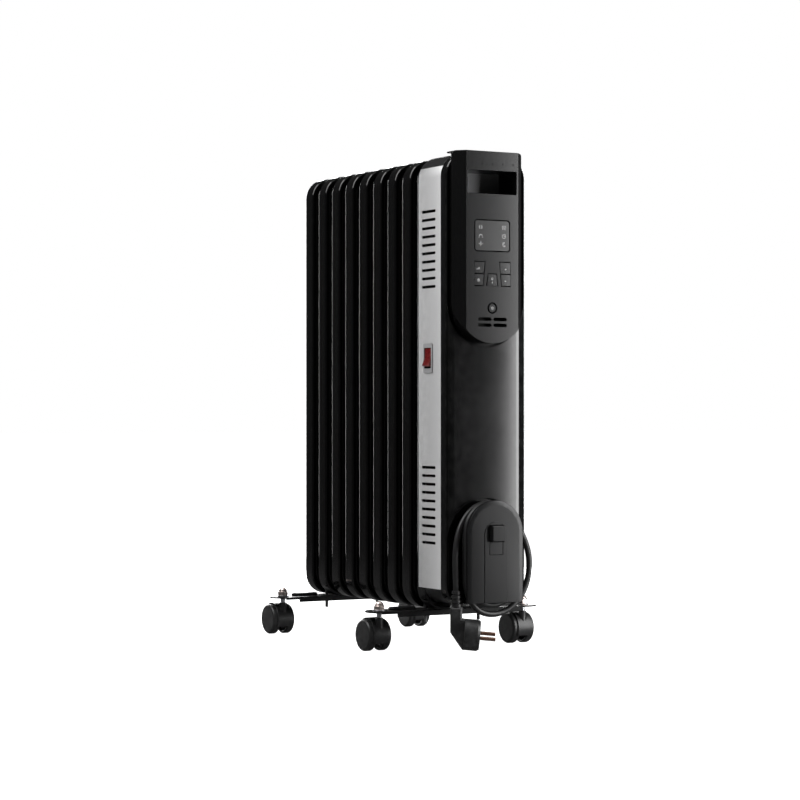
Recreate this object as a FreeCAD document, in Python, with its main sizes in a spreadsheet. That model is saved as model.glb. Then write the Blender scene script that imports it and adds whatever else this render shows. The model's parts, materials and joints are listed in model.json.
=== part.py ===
import FreeCAD, Part
import math
import os
import re

import Sketcher
from FreeCAD import Placement, Rotation, Vector

# Oil filled radiator heater. Millimetres. The heater stands on its castors at Z = 0, its control
# panel faces -Y, +X is to the right of a person who looks at the panel, and the origin lies under
# the middle of its box.

# ---------------------------------------------------------------- driving dimensions
DIMENSIONS = {
    # Clearances
    "seat_gap": 0.3,            # between two pieces that rest on each other
    "running_gap": 0.05,        # radial, between a shaft and its bore
    "key_gap": 0.35,            # round a key in its window
    # Fin stack
    "fin_count": 9,
    "fin_pitch": 38.25,
    "fin_width": 113,
    "fin_height": 566,
    "fin_corner": 28,
    "fin_rim": 21,              # depth of the folded rim, front to back
    "fin_sheet": 1.2,
    "fin_fold": 3.4,            # how thick the folded rim is
    "fold_radius": 2.6,
    "web_thickness": 1.8,
    "channel_inset": 7,         # from the fin's edge to the oil channel
    "channel_width": 24,
    "channel_depth": 13,
    "channel_bevel": 4,
    "header_inset": 48,         # from the fin's end to the header's axis
    "header_bore": 24,
    "boss_diameter": 44,
    "boss_depth": 22,
    "collar_diameter": 32,
    "front_fin_offset": 50.5,   # front cover's back to the middle of the front fin
    # Housing
    "panel_sheet": 0.8,
    "panel_gap": 0.2,           # between the fins' rims and the sheets over them
    "panel_depth": 54.7,
    "panel_bottom": 80,
    "panel_top": 603,
    "pan_depth": 39.5,
    "housing_bottom": 61.5,
    "housing_low_corner": 23,
    "slot_length": 33.6,
    "slot_height": 3.5,
    "slot_pitch": 10.4,
    "slot_count": 10,
    "slot_middle": 29.8,        # from the cover's back to the middle of a slot
    "low_slot_height": 136.5,
    "high_slot_height": 454.5,
    "back_plate_sheet": 1.2,
    "standoff": 8,
    # Front cover
    "cover_depth": 12,
    "cover_floor": 3,
    "cover_rim": 2.5,
    "cover_edge": 2.4,
    "arch_recess_top": 192,
    # Control panel
    "face_reach": 27.85,        # from the cover's back to the panel's face
    "panel_half_width": 50.4,
    "panel_round_height": 434,
    "face_half_width": 37.8,
    "side_bevel_depth": 12.85,
    "panel_wall": 2.5,
    "lip_thickness": 1.9,
    "lip_depth": 4,
    "panel_top_corner": 4,
    "grip_width": 70.5,
    "grip_height": 28.8,
    "grip_middle": 582.5,
    "grip_depth": 41,
    "grip_wall": 2,
    "pinhole_radius": 0.7,
    "pinhole_pitch": 15,
    "pinhole_height": 605,
    "window_width": 50.4,
    "window_height": 38.2,
    "window_middle": 516.4,
    "window_corner": 2.5,
    "window_thickness": 1.6,
    "key_inner": 10.6,
    "key_outer": 26,
    "key_slant": 2.8,           # how far the inner edges lean over both rows
    "key_height": 14.7,
    "key_row_height": 469.3,
    "middle_key_top": 5.9,
    "middle_key_bottom": 8,
    "key_flange": 1.2,
    "stem_of_key": 2,
    "switch_stroke_top": 5,     # from the control board to the top of a tactile switch
    "key_travel": 0.8,
    "power_key_radius": 4.8,
    "power_key_height": 427.3,
    "vent_length": 19.1,
    "vent_height": 4.2,
    "vent_offset": 11.15,
    "vent_low": 406,
    "vent_pitch": 7.4,
    "board_thickness": 1.6,
    "board_reach": 14,          # from the cover's back to the control board's front
    # Rocker switch
    "switch_height": 366,
    "switch_offset": 30,
    "bezel_height": 37,
    "bezel_width": 22,
    "bezel_thickness": 1.6,
    "switch_body": 20,
    "switch_wall": 1.4,
    "rocker_half": 11,
    "rocker_width": 16,
    "rocker_pivot": 4,          # from the side panel's face inwards
    "rocker_tilt": 12,          # degrees each way from level
    "rocker_pin": 1.5,
    # Cord storage
    "storage_reach": 36.5,      # from the cover's back to the storage cover's face
    "storage_plate": 5.5,
    "storage_half_width": 40,
    "storage_round_height": 150,
    "storage_bottom": 64,
    "storage_bevel": 1.3,
    "arch_half_width": 16.5,
    "arch_round_height": 147.5,
    "arch_relief": 0.8,
    "tongue_half_width": 9.3,
    "tongue_root": 123,
    "tongue_top": 159.6,
    "finger_bottom": 139,
    "finger_reach": 6.9,
    "core_half_width": 23,
    "core_low_height": 88,
    "core_wall": 2.5,
    "cord_diameter": 7.5,
    "coil_gap": 0.4,
    "coil_depth": 24,
    "gland_x": 41,
    "gland_reach": 9.6,         # from the cover's back to the middle of the gland
    "gland_low": 72,
    "plug_radius": 19.3,
    "pin_radius": 2.4,
    "pin_spacing": 19,
    # Castor plates
    "plate_length": 246,
    "plate_width": 42,
    "plate_sheet": 2,
    "plate_gap": 7,             # between the castors' hoods and the plates
    "plate_skirt": 7,
    "skirt_length": 181,
    "bead_middle": 73,          # stiffening beads between the U-bolts and the castors
    "bead_length": 38,
    "bead_width": 14,
    "bead_height": 4,
    "castor_offset": 105.7,
    "ubolt_radius": 39,
    "ubolt_rod": 2.1,
    "ubolt_foot": 34,
    "wing_nut_radius": 4.5,
    "wing_nut_height": 4.5,
    "wing_span": 10.5,
    # Castors
    "wheel_radius": 20,
    "wheel_outer": 16.3,         # from the castor's middle to a wheel's outer face
    "wheel_inner": 5.5,
    "wheel_rim": 3,
    "wheel_face": 2.4,
    "wheel_trail": 15,
    "axle_radius": 3,
    "web_half": 5,
    "hood_half": 10,
    "hood_dip": 25,             # degrees that the hood reaches below the axle in front
    "hood_gap": 0.6,
    "hood_thickness": 1.4,
    "stem_radius": 3.15,
    "stem_gap": 1,              # between a castor's axle and the end of its stem
    "socket_radius": 5,
    "socket_lip": 0.5,          # how far the socket stands above the hood
    "nut_flats": 13,
    "nut_height": 5,
    "washer_radius": 8,
    "washer_thickness": 1.3,
}

# Places and sizes that follow from the driving dimensions.
DERIVED = {
    "front_reach": "storage_reach + finger_reach",
    "board_back": "front_fin_offset - fin_rim / 2 - seat_gap - back_plate_sheet - standoff - seat_gap",
    "back_plate_front": "front_fin_offset - fin_rim / 2 - seat_gap - back_plate_sheet",
    "arch_recess_height": "arch_recess_top - recess_half",
    "axle_reach": "wheel_outer - 1.5",
    "hood_top": "2 * wheel_radius + hood_gap + hood_thickness",
    "socket_top": "hood_top + socket_lip",
    "stem_low": "wheel_radius + axle_radius + stem_gap",
    "plate_top": "hood_top + plate_gap + plate_sheet",
    "rear_reach": "front_fin_offset + (fin_count - 1.5) * fin_pitch + wheel_trail + wheel_radius",
    "cover_back": "(front_reach - rear_reach) / 2",
    "fin_bottom": "plate_top + seat_gap",
    "fin_top": "fin_bottom + fin_height",
    "fin_middle": "fin_bottom + fin_height / 2",
    "low_header": "fin_bottom + header_inset",
    "high_header": "fin_top - header_inset",
    "housing_half": "fin_width / 2 + panel_gap + panel_sheet",
    "housing_top": "fin_top + panel_gap + panel_sheet",
    "housing_corner": "fin_corner + panel_gap + panel_sheet",
    "floor_front": "cover_floor + seat_gap",
    "panel_ceiling": "housing_top + seat_gap + lip_thickness",
    "face_back": "face_reach - panel_wall",
    "recess_half": "housing_half - cover_rim",
    "storage_back": "storage_reach - storage_plate",
    "coil_inner": "core_half_width + coil_gap",
    "coil_outer": "coil_inner + cord_diameter + 0.4",
    "coil_back": "floor_front + 2.4",
    "front_plate_y": "cover_back + front_fin_offset + fin_pitch / 2",
    "rear_plate_y": "cover_back + front_fin_offset + (fin_count - 1.5) * fin_pitch",
    "ubolt_middle": "low_header + collar_diameter / 2 + seat_gap + ubolt_rod - ubolt_radius",
}

DOC = FreeCAD.newDocument("oil_radiator")
SHEET = DOC.addObject("Spreadsheet::Sheet", "Size")
for row, (alias, size) in enumerate(DIMENSIONS.items(), start=1):
    SHEET.set(f"A{row}", alias.replace("_", " "))
    SHEET.set(f"B{row}", str(size))
    SHEET.setAlias(f"B{row}", alias)
DOC.recompute()


def formula(text):
    """The expression that a plain formula of named sizes stands for."""
    def named(match):
        word = match.group(0)
        if word in DERIVED:
            return f"({formula(DERIVED[word])})"
        return f"Size.{word}" if word in DIMENSIONS else word
    return re.sub(r"[a-z][a-z_]*", named, str(text))


def number(text):
    """The value of a formula, in millimetres."""
    return float(SHEET.evalExpression(formula(text)))


# ---------------------------------------------------------------- sketches and bodies
class Outline:
    """A sketch on a plane of its body, with every corner dimensioned by a formula."""

    def __init__(self, body, plane, offset="0"):
        self.sketch = body.newObject("Sketcher::SketchObject", f"{body.Name}_outline")
        support = [item for item in body.Origin.OriginFeatures if item.Role == f"{plane}_Plane"]
        self.sketch.AttachmentSupport = [(support[0], "")]
        self.sketch.MapMode = "FlatFace"
        self.sketch.setExpression("AttachmentOffset.Base.z", formula(offset))

    def dimension(self, kind, references, text):
        constraint = Sketcher.Constraint(kind, *references, number(text))
        index = self.sketch.addConstraint(constraint)
        self.sketch.setExpression(f"Constraints[{index}]", formula(text))

    def fix(self, geometry, point, x, y):
        self.dimension("DistanceX", (-1, 1, geometry, point), x)
        self.dimension("DistanceY", (-1, 1, geometry, point), y)

    def circle(self, radius, x="0", y="0"):
        centre = Vector(number(x), number(y), 0)
        curve = Part.Circle(centre, Vector(0, 0, 1), number(radius))
        index = self.sketch.addGeometry(curve, False)
        self.fix(index, 3, x, y)
        self.dimension("Radius", (index,), radius)
        return self

    def chain(self, *steps):
        """A closed outline. A step (x, y) is a line to that point, and a step
        (x, y, cx, cy, turn) an arc about (cx, cy), +1 for counterclockwise."""
        ends = []
        for before, step in zip((steps[-1],) + steps[:-1], steps):
            start = Vector(number(before[0]), number(before[1]), 0)
            end = Vector(number(step[0]), number(step[1]), 0)
            if len(step) == 2:
                index = self.sketch.addGeometry(Part.LineSegment(start, end), False)
                ends.append((index, 1, 2, step))
                continue
            centre = Vector(number(step[2]), number(step[3]), 0)
            first, last = (start, end) if step[4] > 0 else (end, start)
            angles = [math.atan2(*reversed((point - centre)[:2])) for point in (first, last)]
            ring = Part.Circle(centre, Vector(0, 0, 1), (start - centre).Length)
            index = self.sketch.addGeometry(Part.ArcOfCircle(ring, *angles), False)
            ends.append((index, 1, 2, step) if step[4] > 0 else (index, 2, 1, step))
        for number_of, (index, _, tip, step) in enumerate(ends):
            following = ends[(number_of + 1) % len(ends)]
            joint = Sketcher.Constraint("Coincident", index, tip, following[0], following[1])
            self.sketch.addConstraint(joint)
            self.fix(index, tip, step[0], step[1])
            if len(step) == 5:
                before = ends[number_of - 1][3]
                across = abs(number(before[0]) - number(step[0]))
                upward = abs(number(before[1]) - number(step[1]))
                if across > upward:
                    self.dimension("DistanceY", (-1, 1, index, 3), step[3])
                else:
                    self.dimension("DistanceX", (-1, 1, index, 3), step[2])
        return self

    def box(self, left, right, low, high):
        return self.chain((left, low), (right, low), (right, high), (left, high))

    def rounded_box(self, half, low, high, low_corner, high_corner):
        """A box about x = 0 with rounded corners, one radius below and one above."""
        left, right = f"-({half})", f"{half}"
        low_y, high_y = f"{low} + {low_corner}", f"{high} - ({high_corner})"
        low_left, low_right = f"{left} + {low_corner}", f"{right} - ({low_corner})"
        high_left, high_right = f"{left} + {high_corner}", f"{right} - ({high_corner})"
        return self.chain(
            (low_right, low), (right, low_y, low_right, low_y, 1),
            (right, high_y), (high_right, high, high_right, high_y, 1),
            (high_left, high), (left, high_y, high_left, high_y, 1),
            (left, low_y), (low_left, low, low_left, low_y, 1),
        )

    def slot(self, half_length, half_height, x="0", y="0"):
        """A lying slot with round ends."""
        left, right = f"{x} - ({half_length}) + {half_height}", f"{x} + {half_length} - ({half_height})"
        low, high = f"{y} - ({half_height})", f"{y} + {half_height}"
        return self.chain((right, low), (right, high, right, y, 1), (left, high), (left, low, left, y, 1))

    def arch(self, half, end, centre):
        """Straight sides from y = end to y = centre, closed by a half circle beyond."""
        left, right = f"-({half})", f"{half}"
        turn = 1 if number(centre) > number(end) else -1
        return self.chain((left, end), (right, end), (right, centre), (left, centre, "0", centre, turn))

    def stadium(self, half, low, high):
        """Two half circles of the given half width, about y = low and y = high."""
        left, right = f"-({half})", f"{half}"
        return self.chain(
            (right, low, "0", low, 1), (right, high), (left, high, "0", high, 1), (left, low),
        )


class Solid:
    """One sub-part as a PartDesign body, placed by formulas."""

    def __init__(self, label, x="0", y="0", z="0"):
        self.body = DOC.addObject("PartDesign::Body", label)
        self.body.Label = label
        for axis, text in zip("xyz", (x, y, z)):
            self.body.setExpression(f"Placement.Base.{axis}", formula(text))

    def outline(self, plane, offset="0"):
        return Outline(self.body, plane, offset)

    def axis(self, name):
        return [item for item in self.body.Origin.OriginFeatures if item.Role == f"{name}_Axis"][0]

    def feature(self, kind, outline):
        item = self.body.newObject(f"PartDesign::{kind}", f"{self.body.Name}_{kind}")
        item.Profile = outline.sketch
        outline.sketch.Visibility = False
        return item

    def pad(self, outline, length, middle=False, reverse=False):
        item = self.feature("Pad", outline)
        item.setExpression("Length", formula(length))
        item.Midplane = middle
        item.Reversed = reverse
        return item

    def pocket(self, outline, length=None, middle=False, reverse=False):
        """A pocket of the given depth, or through everything both ways."""
        item = self.feature("Pocket", outline)
        if length is None:
            item.Type = "ThroughAll"
            item.Midplane = True
        else:
            item.setExpression("Length", formula(length))
            item.Midplane = middle
            item.Reversed = reverse
        return item

    def revolve(self, outline, axis, angle="360", middle=False):
        item = self.feature("Revolution", outline)
        item.ReferenceAxis = (self.axis(axis), [""])
        item.setExpression("Angle", formula(angle))
        item.Midplane = middle
        return item

    def pattern(self, features, axis, span, count, reverse=False):
        item = self.body.newObject("PartDesign::LinearPattern", f"{self.body.Name}_row")
        item.Originals = features
        item.Direction = (self.axis(axis), [""])
        item.Reversed = reverse
        item.setExpression("Length", formula(span))
        item.setExpression("Occurrences", formula(count))
        self.body.Tip = item
        return item

    def edges(self, chosen):
        """Names of the present edges that a test picks."""
        DOC.recompute()
        names = enumerate(self.body.Tip.Shape.Edges, start=1)
        return [f"Edge{index}" for index, edge in names if chosen(edge)]

    def fillet(self, radius, chosen):
        names = self.edges(chosen)
        base = self.body.Tip
        item = self.body.newObject("PartDesign::Fillet", f"{self.body.Name}_fillet")
        item.Base = (base, names)
        item.setExpression("Radius", formula(radius))
        return item

    def chamfer(self, size, chosen):
        names = self.edges(chosen)
        base = self.body.Tip
        item = self.body.newObject("PartDesign::Chamfer", f"{self.body.Name}_chamfer")
        item.Base = (base, names)
        item.setExpression("Size", formula(size))
        return item


def lies_at(edge, axis, place, slack=0.01):
    """True where the whole edge lies in the plane axis = place."""
    box = edge.BoundBox
    low, high = getattr(box, f"{axis}Min"), getattr(box, f"{axis}Max")
    return abs(low - place) < slack and abs(high - place) < slack


# ---------------------------------------------------------------- primitives
def primitive(kind, name, place, turn=None, **sizes):
    """A Part primitive with its sizes and its place bound to the sheet."""
    item = DOC.addObject(f"Part::{kind}", name)
    item.Placement = Placement(Vector(), turn or Rotation())
    for size, text in sizes.items():
        item.setExpression(size, formula(text))
    for axis, text in zip("xyz", place):
        item.setExpression(f"Placement.Base.{axis}", formula(text))
    return item


def fused(label, pieces):
    """One solid from several."""
    item = DOC.addObject("Part::MultiFuse", label)
    item.Label = label
    item.Shapes = [getattr(piece, "body", piece) for piece in pieces]
    return item


def grouped(label, pieces):
    """Separate solids that share one node."""
    item = DOC.addObject("Part::Compound", label)
    item.Label = label
    item.Links = [getattr(piece, "body", piece) for piece in pieces]
    return item


# ---------------------------------------------------------------- fin stack
def outer_edge(edge):
    """True for the edges round the outside of a fin's rim."""
    half, low, high = number("fin_width / 2"), number("fin_bottom"), number("fin_top")
    side = number("fin_rim / 2")
    if not (lies_at(edge, "Y", side) or lies_at(edge, "Y", -side)):
        return False
    return all(abs(abs(end.X) - half) < 0.01 or abs(end.Z - low) < 0.01 or abs(end.Z - high) < 0.01
               for end in edge.Vertexes)


def fin(index):
    """A pressed fin: folded rim, twin web, closed oil channel and two header bosses."""
    behind = f"(fin_count - {index})"
    part = Solid(f"fin_{index}", y=f"cover_back + front_fin_offset + {behind} * fin_pitch")
    half = "fin_width / 2"
    rim = part.outline("XZ")
    rim.rounded_box(half, "fin_bottom", "fin_top", "fin_corner", "fin_corner")
    rim.rounded_box(f"{half} - fin_fold", "fin_bottom + fin_fold", "fin_top - fin_fold",
                    "fin_corner - fin_fold", "fin_corner - fin_fold")
    part.pad(rim, "fin_rim", middle=True)
    part.fillet("fold_radius", outer_edge)
    web = part.outline("XZ")
    web.rounded_box(f"{half} - fin_sheet / 2", "fin_bottom + fin_sheet / 2", "fin_top - fin_sheet / 2",
                    "fin_corner - fin_sheet / 2", "fin_corner - fin_sheet / 2")
    part.pad(web, "web_thickness", middle=True)
    channel = part.outline("XZ")
    inset = "channel_inset"
    channel.rounded_box(f"{half} - {inset}", f"fin_bottom + {inset}", f"fin_top - {inset}",
                        f"fin_corner - {inset}", f"fin_corner - {inset}")
    island = f"{inset} + channel_width"
    channel.rounded_box(f"{half} - ({island})", "low_header + boss_diameter / 2 + 6",
                        "high_header - boss_diameter / 2 - 6", "fin_corner - channel_inset - 6",
                        "fin_corner - channel_inset - 6")
    part.pad(channel, "channel_depth", middle=True)
    face = number("channel_depth / 2")
    part.chamfer("channel_bevel", lambda edge: any(lies_at(edge, "Y", side) for side in (face, -face)))
    for header in ("low_header", "high_header"):
        boss = part.outline("XZ")
        boss.circle("boss_diameter / 2", "0", header)
        part.pad(boss, "boss_depth", middle=True)
    step = number("boss_depth / 2")
    part.chamfer("channel_bevel", lambda edge: any(lies_at(edge, "Y", side) for side in (step, -step)))
    for header in ("low_header", "high_header"):
        bore = part.outline("XZ")
        bore.circle("header_bore / 2", "0", header)
        if index == 1:
            part.pocket(bore, "boss_depth / 2 + seat_gap", reverse=True)
        else:
            part.pocket(bore)
    return part


def header_collars():
    """The short tubes that join each fin to the next along both headers."""
    part = Solid("header_collars", y="cover_back + front_fin_offset + boss_depth / 2")
    rings = []
    for header in ("low_header", "high_header"):
        ring = part.outline("XZ")
        ring.circle("collar_diameter / 2", "0", header)
        ring.circle("header_bore / 2", "0", header)
        rings.append(part.pad(ring, "fin_pitch - boss_depth", reverse=True))
    part.pattern(rings, "Y", "(fin_count - 2) * fin_pitch", "fin_count - 1")
    return part


def oil_filler_plug():
    """The screwed plug that closes the top header at the front fin."""
    part = Solid("oil_filler_plug", y="cover_back + front_fin_offset - boss_depth / 2", z="high_header")
    shape = part.outline("YZ")
    shape.chain(("-5", "0"), ("boss_depth / 2", "0"), ("boss_depth / 2", "header_bore / 2 - running_gap"),
                ("0", "header_bore / 2 - running_gap"), ("0", "header_bore / 2 + 3"),
                ("-2", "header_bore / 2 + 3"), ("-2", "7"), ("-5", "7"))
    part.revolve(shape, "Y")
    socket = part.outline("XZ", "5")
    socket.box("-3", "3", "-3", "3")
    part.pocket(socket, "3.5")
    return part


def heating_element():
    """The sheathed element: flange, neck and terminals, and a long hairpin inside the bottom header."""
    face = "cover_back + front_fin_offset - boss_depth / 2"
    legs = "(fin_count - 1.2) * fin_pitch"
    along_y = Rotation(Vector(1, 0, 0), -90)
    pieces = [
        primitive("Cylinder", "element_flange", ("0", f"{face} - 3", "low_header"), along_y,
                  Radius="boss_diameter / 2 - 4", Height="3"),
        primitive("Cylinder", "element_neck", ("0", f"{face} - 7", "low_header"), along_y,
                  Radius="header_bore / 2 - 1", Height="5"),
        primitive("Torus", "element_bend", ("0", f"{face} + {legs}", "low_header"),
                  Rotation(Vector(0, 1, 0), 90), Radius1="6", Radius2="4", Angle3="180"),
    ]
    for side in ("- 6", "+ 6"):
        pieces.append(primitive("Cylinder", "element_leg", ("0", f"{face} - 1", f"low_header {side}"),
                                along_y, Radius="4", Height=f"{legs} + 1"))
        pieces.append(primitive("Cylinder", "element_terminal", ("0", f"{face} - 14", f"low_header {side}"),
                                along_y, Radius="2.6", Height="8"))
    return fused("heating_element", pieces)


# ---------------------------------------------------------------- routes
def tangent_route(points):
    """A wire of straight runs joined by tangent arcs, and the arcs' radii. Each arc takes 0.45 of
    the shorter run beside it."""
    edges, radii = [], []
    start = points[0]
    for before, corner, after in zip(points, points[1:], points[2:]):
        inward, outward = corner - before, after - corner
        reach = 0.45 * min(inward.Length, outward.Length)
        inward.normalize()
        outward.normalize()
        half_turn = inward.getAngle(outward) / 2
        radii.append(reach / math.tan(half_turn))
        first, last = corner - inward * reach, corner + outward * reach
        bulge = (outward - inward).normalize()
        middle = corner + bulge * (radii[-1] / math.cos(half_turn) - radii[-1])
        edges.append(Part.LineSegment(start, first).toShape())
        edges.append(Part.Arc(first, middle, last).toShape())
        start = last
    edges.append(Part.LineSegment(start, points[-1]).toShape())
    return Part.Wire(edges), radii


def tube(points, diameter):
    """A round solid along a route, checked against its section times its length."""
    wire, radii = tangent_route(points)
    heading = points[1] - points[0]
    ring = Part.Wire([Part.Circle(points[0], heading, diameter / 2).toShape()])
    solid = wire.makePipeShell([ring], True, False)
    expected = math.pi * diameter ** 2 / 4 * wire.Length
    if abs(solid.Volume - expected) > 0.01 * expected:
        raise ValueError(f"tube volume {solid.Volume:.0f}, expected {expected:.0f}")
    print(f"route of {wire.Length:.0f} mm, radii {', '.join(f'{value:.0f}' for value in radii)}")
    return solid


def plain_feature(label, shape):
    """A sub-part whose shape is worked out in code."""
    item = DOC.addObject("Part::Feature", label)
    item.Label = label
    item.Shape = shape
    return item


def points_at(rows, origin):
    """Route points about an origin, as vectors."""
    return [Vector(*row) + origin for row in rows]


# ---------------------------------------------------------------- housing
def sheet_ring(part, low_corner, depth):
    """A band of sheet round the housing, from just behind the front cover to the given depth."""
    ring = part.outline("XZ", "-seat_gap")
    ring.rounded_box("housing_half", "housing_bottom", "housing_top", low_corner, "housing_corner")
    ring.rounded_box("housing_half - panel_sheet", "housing_bottom + panel_sheet",
                     "housing_top - panel_sheet", f"{low_corner} - panel_sheet",
                     "housing_corner - panel_sheet")
    part.pad(ring, f"{depth} - seat_gap", reverse=True)


def housing_top_cap():
    """Black cap over the housing's rounded top."""
    part = Solid("housing_top_cap", y="cover_back")
    sheet_ring(part, "housing_low_corner", "panel_depth")
    lower = part.outline("XZ")
    lower.box("-housing_half - 1", "housing_half + 1", "housing_bottom - 1", "panel_top + seat_gap")
    part.pocket(lower)
    return part


def housing_bottom_pan():
    """Black pan under the housing, in front of the front fin."""
    part = Solid("housing_bottom_pan", y="cover_back")
    sheet_ring(part, "housing_low_corner", "pan_depth")
    upper = part.outline("XZ")
    upper.box("-housing_half - 1", "housing_half + 1", "panel_bottom - seat_gap", "housing_top + 1")
    part.pocket(upper)
    return part


def side_panel(name, side):
    """A slotted steel side panel, whose top follows the housing's corner. Side is -1 or 1."""
    part = Solid(name, y="cover_back")
    sheet_ring(part, "seat_gap + 2", "panel_depth")
    outer, inner = f"{side} * (housing_half + 1)", f"{side} * (housing_half - 8)"
    far = f"{-side} * (housing_half + 1)"
    rest = part.outline("XZ")
    rest.chain((outer, "panel_top"), (inner, "panel_top"), (inner, "panel_bottom"),
               (outer, "panel_bottom"), (outer, "housing_bottom - 1"), (far, "housing_bottom - 1"),
               (far, "housing_top + 1"), (outer, "housing_top + 1"))
    part.pocket(rest)
    if side < 0:
        window = part.outline("YZ")
        half_width, half_height = "(bezel_width / 2 - 1.5)", "(bezel_height / 2 - 1.5)"
        window.box(f"switch_offset - {half_width}", f"switch_offset + {half_width}",
                   f"switch_height - {half_height}", f"switch_height + {half_height}")
        part.pocket(window)
    slots = part.outline("YZ")
    for height in ("low_slot_height", "high_slot_height"):
        slots.slot("slot_length / 2", "slot_height / 2", "slot_middle", height)
    cut = part.pocket(slots)
    part.pattern([cut], "Z", "(slot_count - 1) * slot_pitch", "slot_count")
    return part


def housing_back_plate():
    """The steel plate that closes the housing against the front fin, with standoffs."""
    part = Solid("housing_back_plate", y="cover_back + front_fin_offset - fin_rim / 2 - seat_gap")
    inset = "panel_sheet + panel_gap"
    sheet = part.outline("XZ")
    sheet.rounded_box(f"housing_half - ({inset})", f"housing_bottom + {inset}",
                      f"housing_top - ({inset})", f"housing_low_corner - ({inset})",
                      f"housing_corner - ({inset})")
    part.pad(sheet, "back_plate_sheet")
    for x, z in BOARD_CORNERS:
        post = part.outline("XZ", "back_plate_sheet / 2")
        post.circle("3", x, z)
        part.pad(post, "back_plate_sheet / 2 + standoff")
    for header in ("low_header", "high_header"):
        hole = part.outline("XZ")
        hole.circle("boss_diameter / 2 + 1", "0", header)
        part.pocket(hole)
    notch = part.outline("XZ")
    notch.box("-housing_half", "switch_body + 4 - housing_half", "switch_height - bezel_height / 2 - 2",
              "switch_height + bezel_height / 2 + 2")
    part.pocket(notch)
    return part


BOARD_CORNERS = [(x, z) for x in ("-30", "30") for z in ("255", "335")]


def power_board():
    """Mains board with two relays, a capacitor and a terminal strip, on the standoffs."""
    part = Solid("power_board", y="cover_back + board_back")
    board = part.outline("XZ")
    board.box("-36", "36", "248", "342")
    part.pad(board, "board_thickness")
    blocks = (("-28", "-9", "290", "320", "15"), ("-4", "15", "290", "320", "15"),
              ("-30", "30", "252", "264", "11"))
    for left, right, low, high, height in blocks:
        block = part.outline("XZ", "board_thickness / 2")
        block.box(left, right, low, high)
        part.pad(block, f"board_thickness / 2 + {height}")
    can = part.outline("XZ", "board_thickness / 2")
    can.circle("6", "25", "305")
    part.pad(can, "board_thickness / 2 + 14")
    return part


def tip_over_switch():
    """The ball switch that cuts the power when the heater falls over."""
    part = Solid("tip_over_switch", y="cover_back + back_plate_front", x="28", z="170")
    case = part.outline("XZ", "seat_gap")
    case.box("-11", "11", "-14", "14")
    part.pad(case, "16")
    dome = part.outline("XZ", "16")
    dome.circle("7")
    part.pad(dome, "4")
    return part


def thermal_cutout():
    """The round thermal cut-out with its mounting flange and two tabs."""
    part = Solid("thermal_cutout", y="cover_back + back_plate_front", x="-22", z="400")
    flange = part.outline("XZ", "seat_gap")
    flange.slot("14", "8")
    part.pad(flange, "1")
    cup = part.outline("XZ", "seat_gap + 0.5")
    cup.circle("7.5")
    part.pad(cup, "7")
    for x in ("-4", "4"):
        tab = part.outline("XZ", "7")
        tab.box(f"{x} - 0.4", f"{x} + 0.4", "-3", "3")
        part.pad(tab, "8")
    return part


def wire_harness():
    """Three sleeved wires from the power board to the element's terminals and the tip-over switch."""
    origin = Vector(0, number("cover_back"), 0)
    terminal_y = number("front_fin_offset - boss_depth / 2 - 14") - 1.7
    low = number("low_header")
    routes = (
        ((-22, 21, 251), (-36, 20, 232), (-46, 22, 205), (-47, 25, 176), (-40, 25, 150),
         (-22, 24, 128), (-3, terminal_y, low + 8)),
        ((-14, 19, 251), (-26, 16, 226), (-38, 15, 196), (-41, 18, 166), (-33, 20, 136),
         (-16, 22, 112), (-3, terminal_y, low - 6)),
        ((10, 20, 251), (16, 19, 236), (22, 19, 220), (26, 20, 205), (28, 22, 188)),
    )
    tubes = [tube(points_at(route, origin), 3) for route in routes]
    return plain_feature("wire_harness", Part.makeCompound(tubes))


# ---------------------------------------------------------------- front cover
def recess(outline, centre, end, corner, inset="0"):
    """A recess outline: a half circle about height centre, straight sides, and rounded corners of
    the given radius at the far end. The inset shrinks the whole outline."""
    half = f"(recess_half - ({inset}))"
    corner = f"({corner} - ({inset}))"
    upward = 1 if number(end) > number(centre) else -1
    tip = f"({end} - {upward} * ({inset}))"
    shoulder = f"({tip} - {upward} * {corner})"
    outline.chain(
        (f"-{half}", centre), (half, centre, "0", centre, upward),
        (half, shoulder), (f"{half} - {corner}", tip, f"{half} - {corner}", shoulder, upward),
        (f"{corner} - {half}", tip), (f"-{half}", shoulder, f"{corner} - {half}", shoulder, upward),
    )


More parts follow.
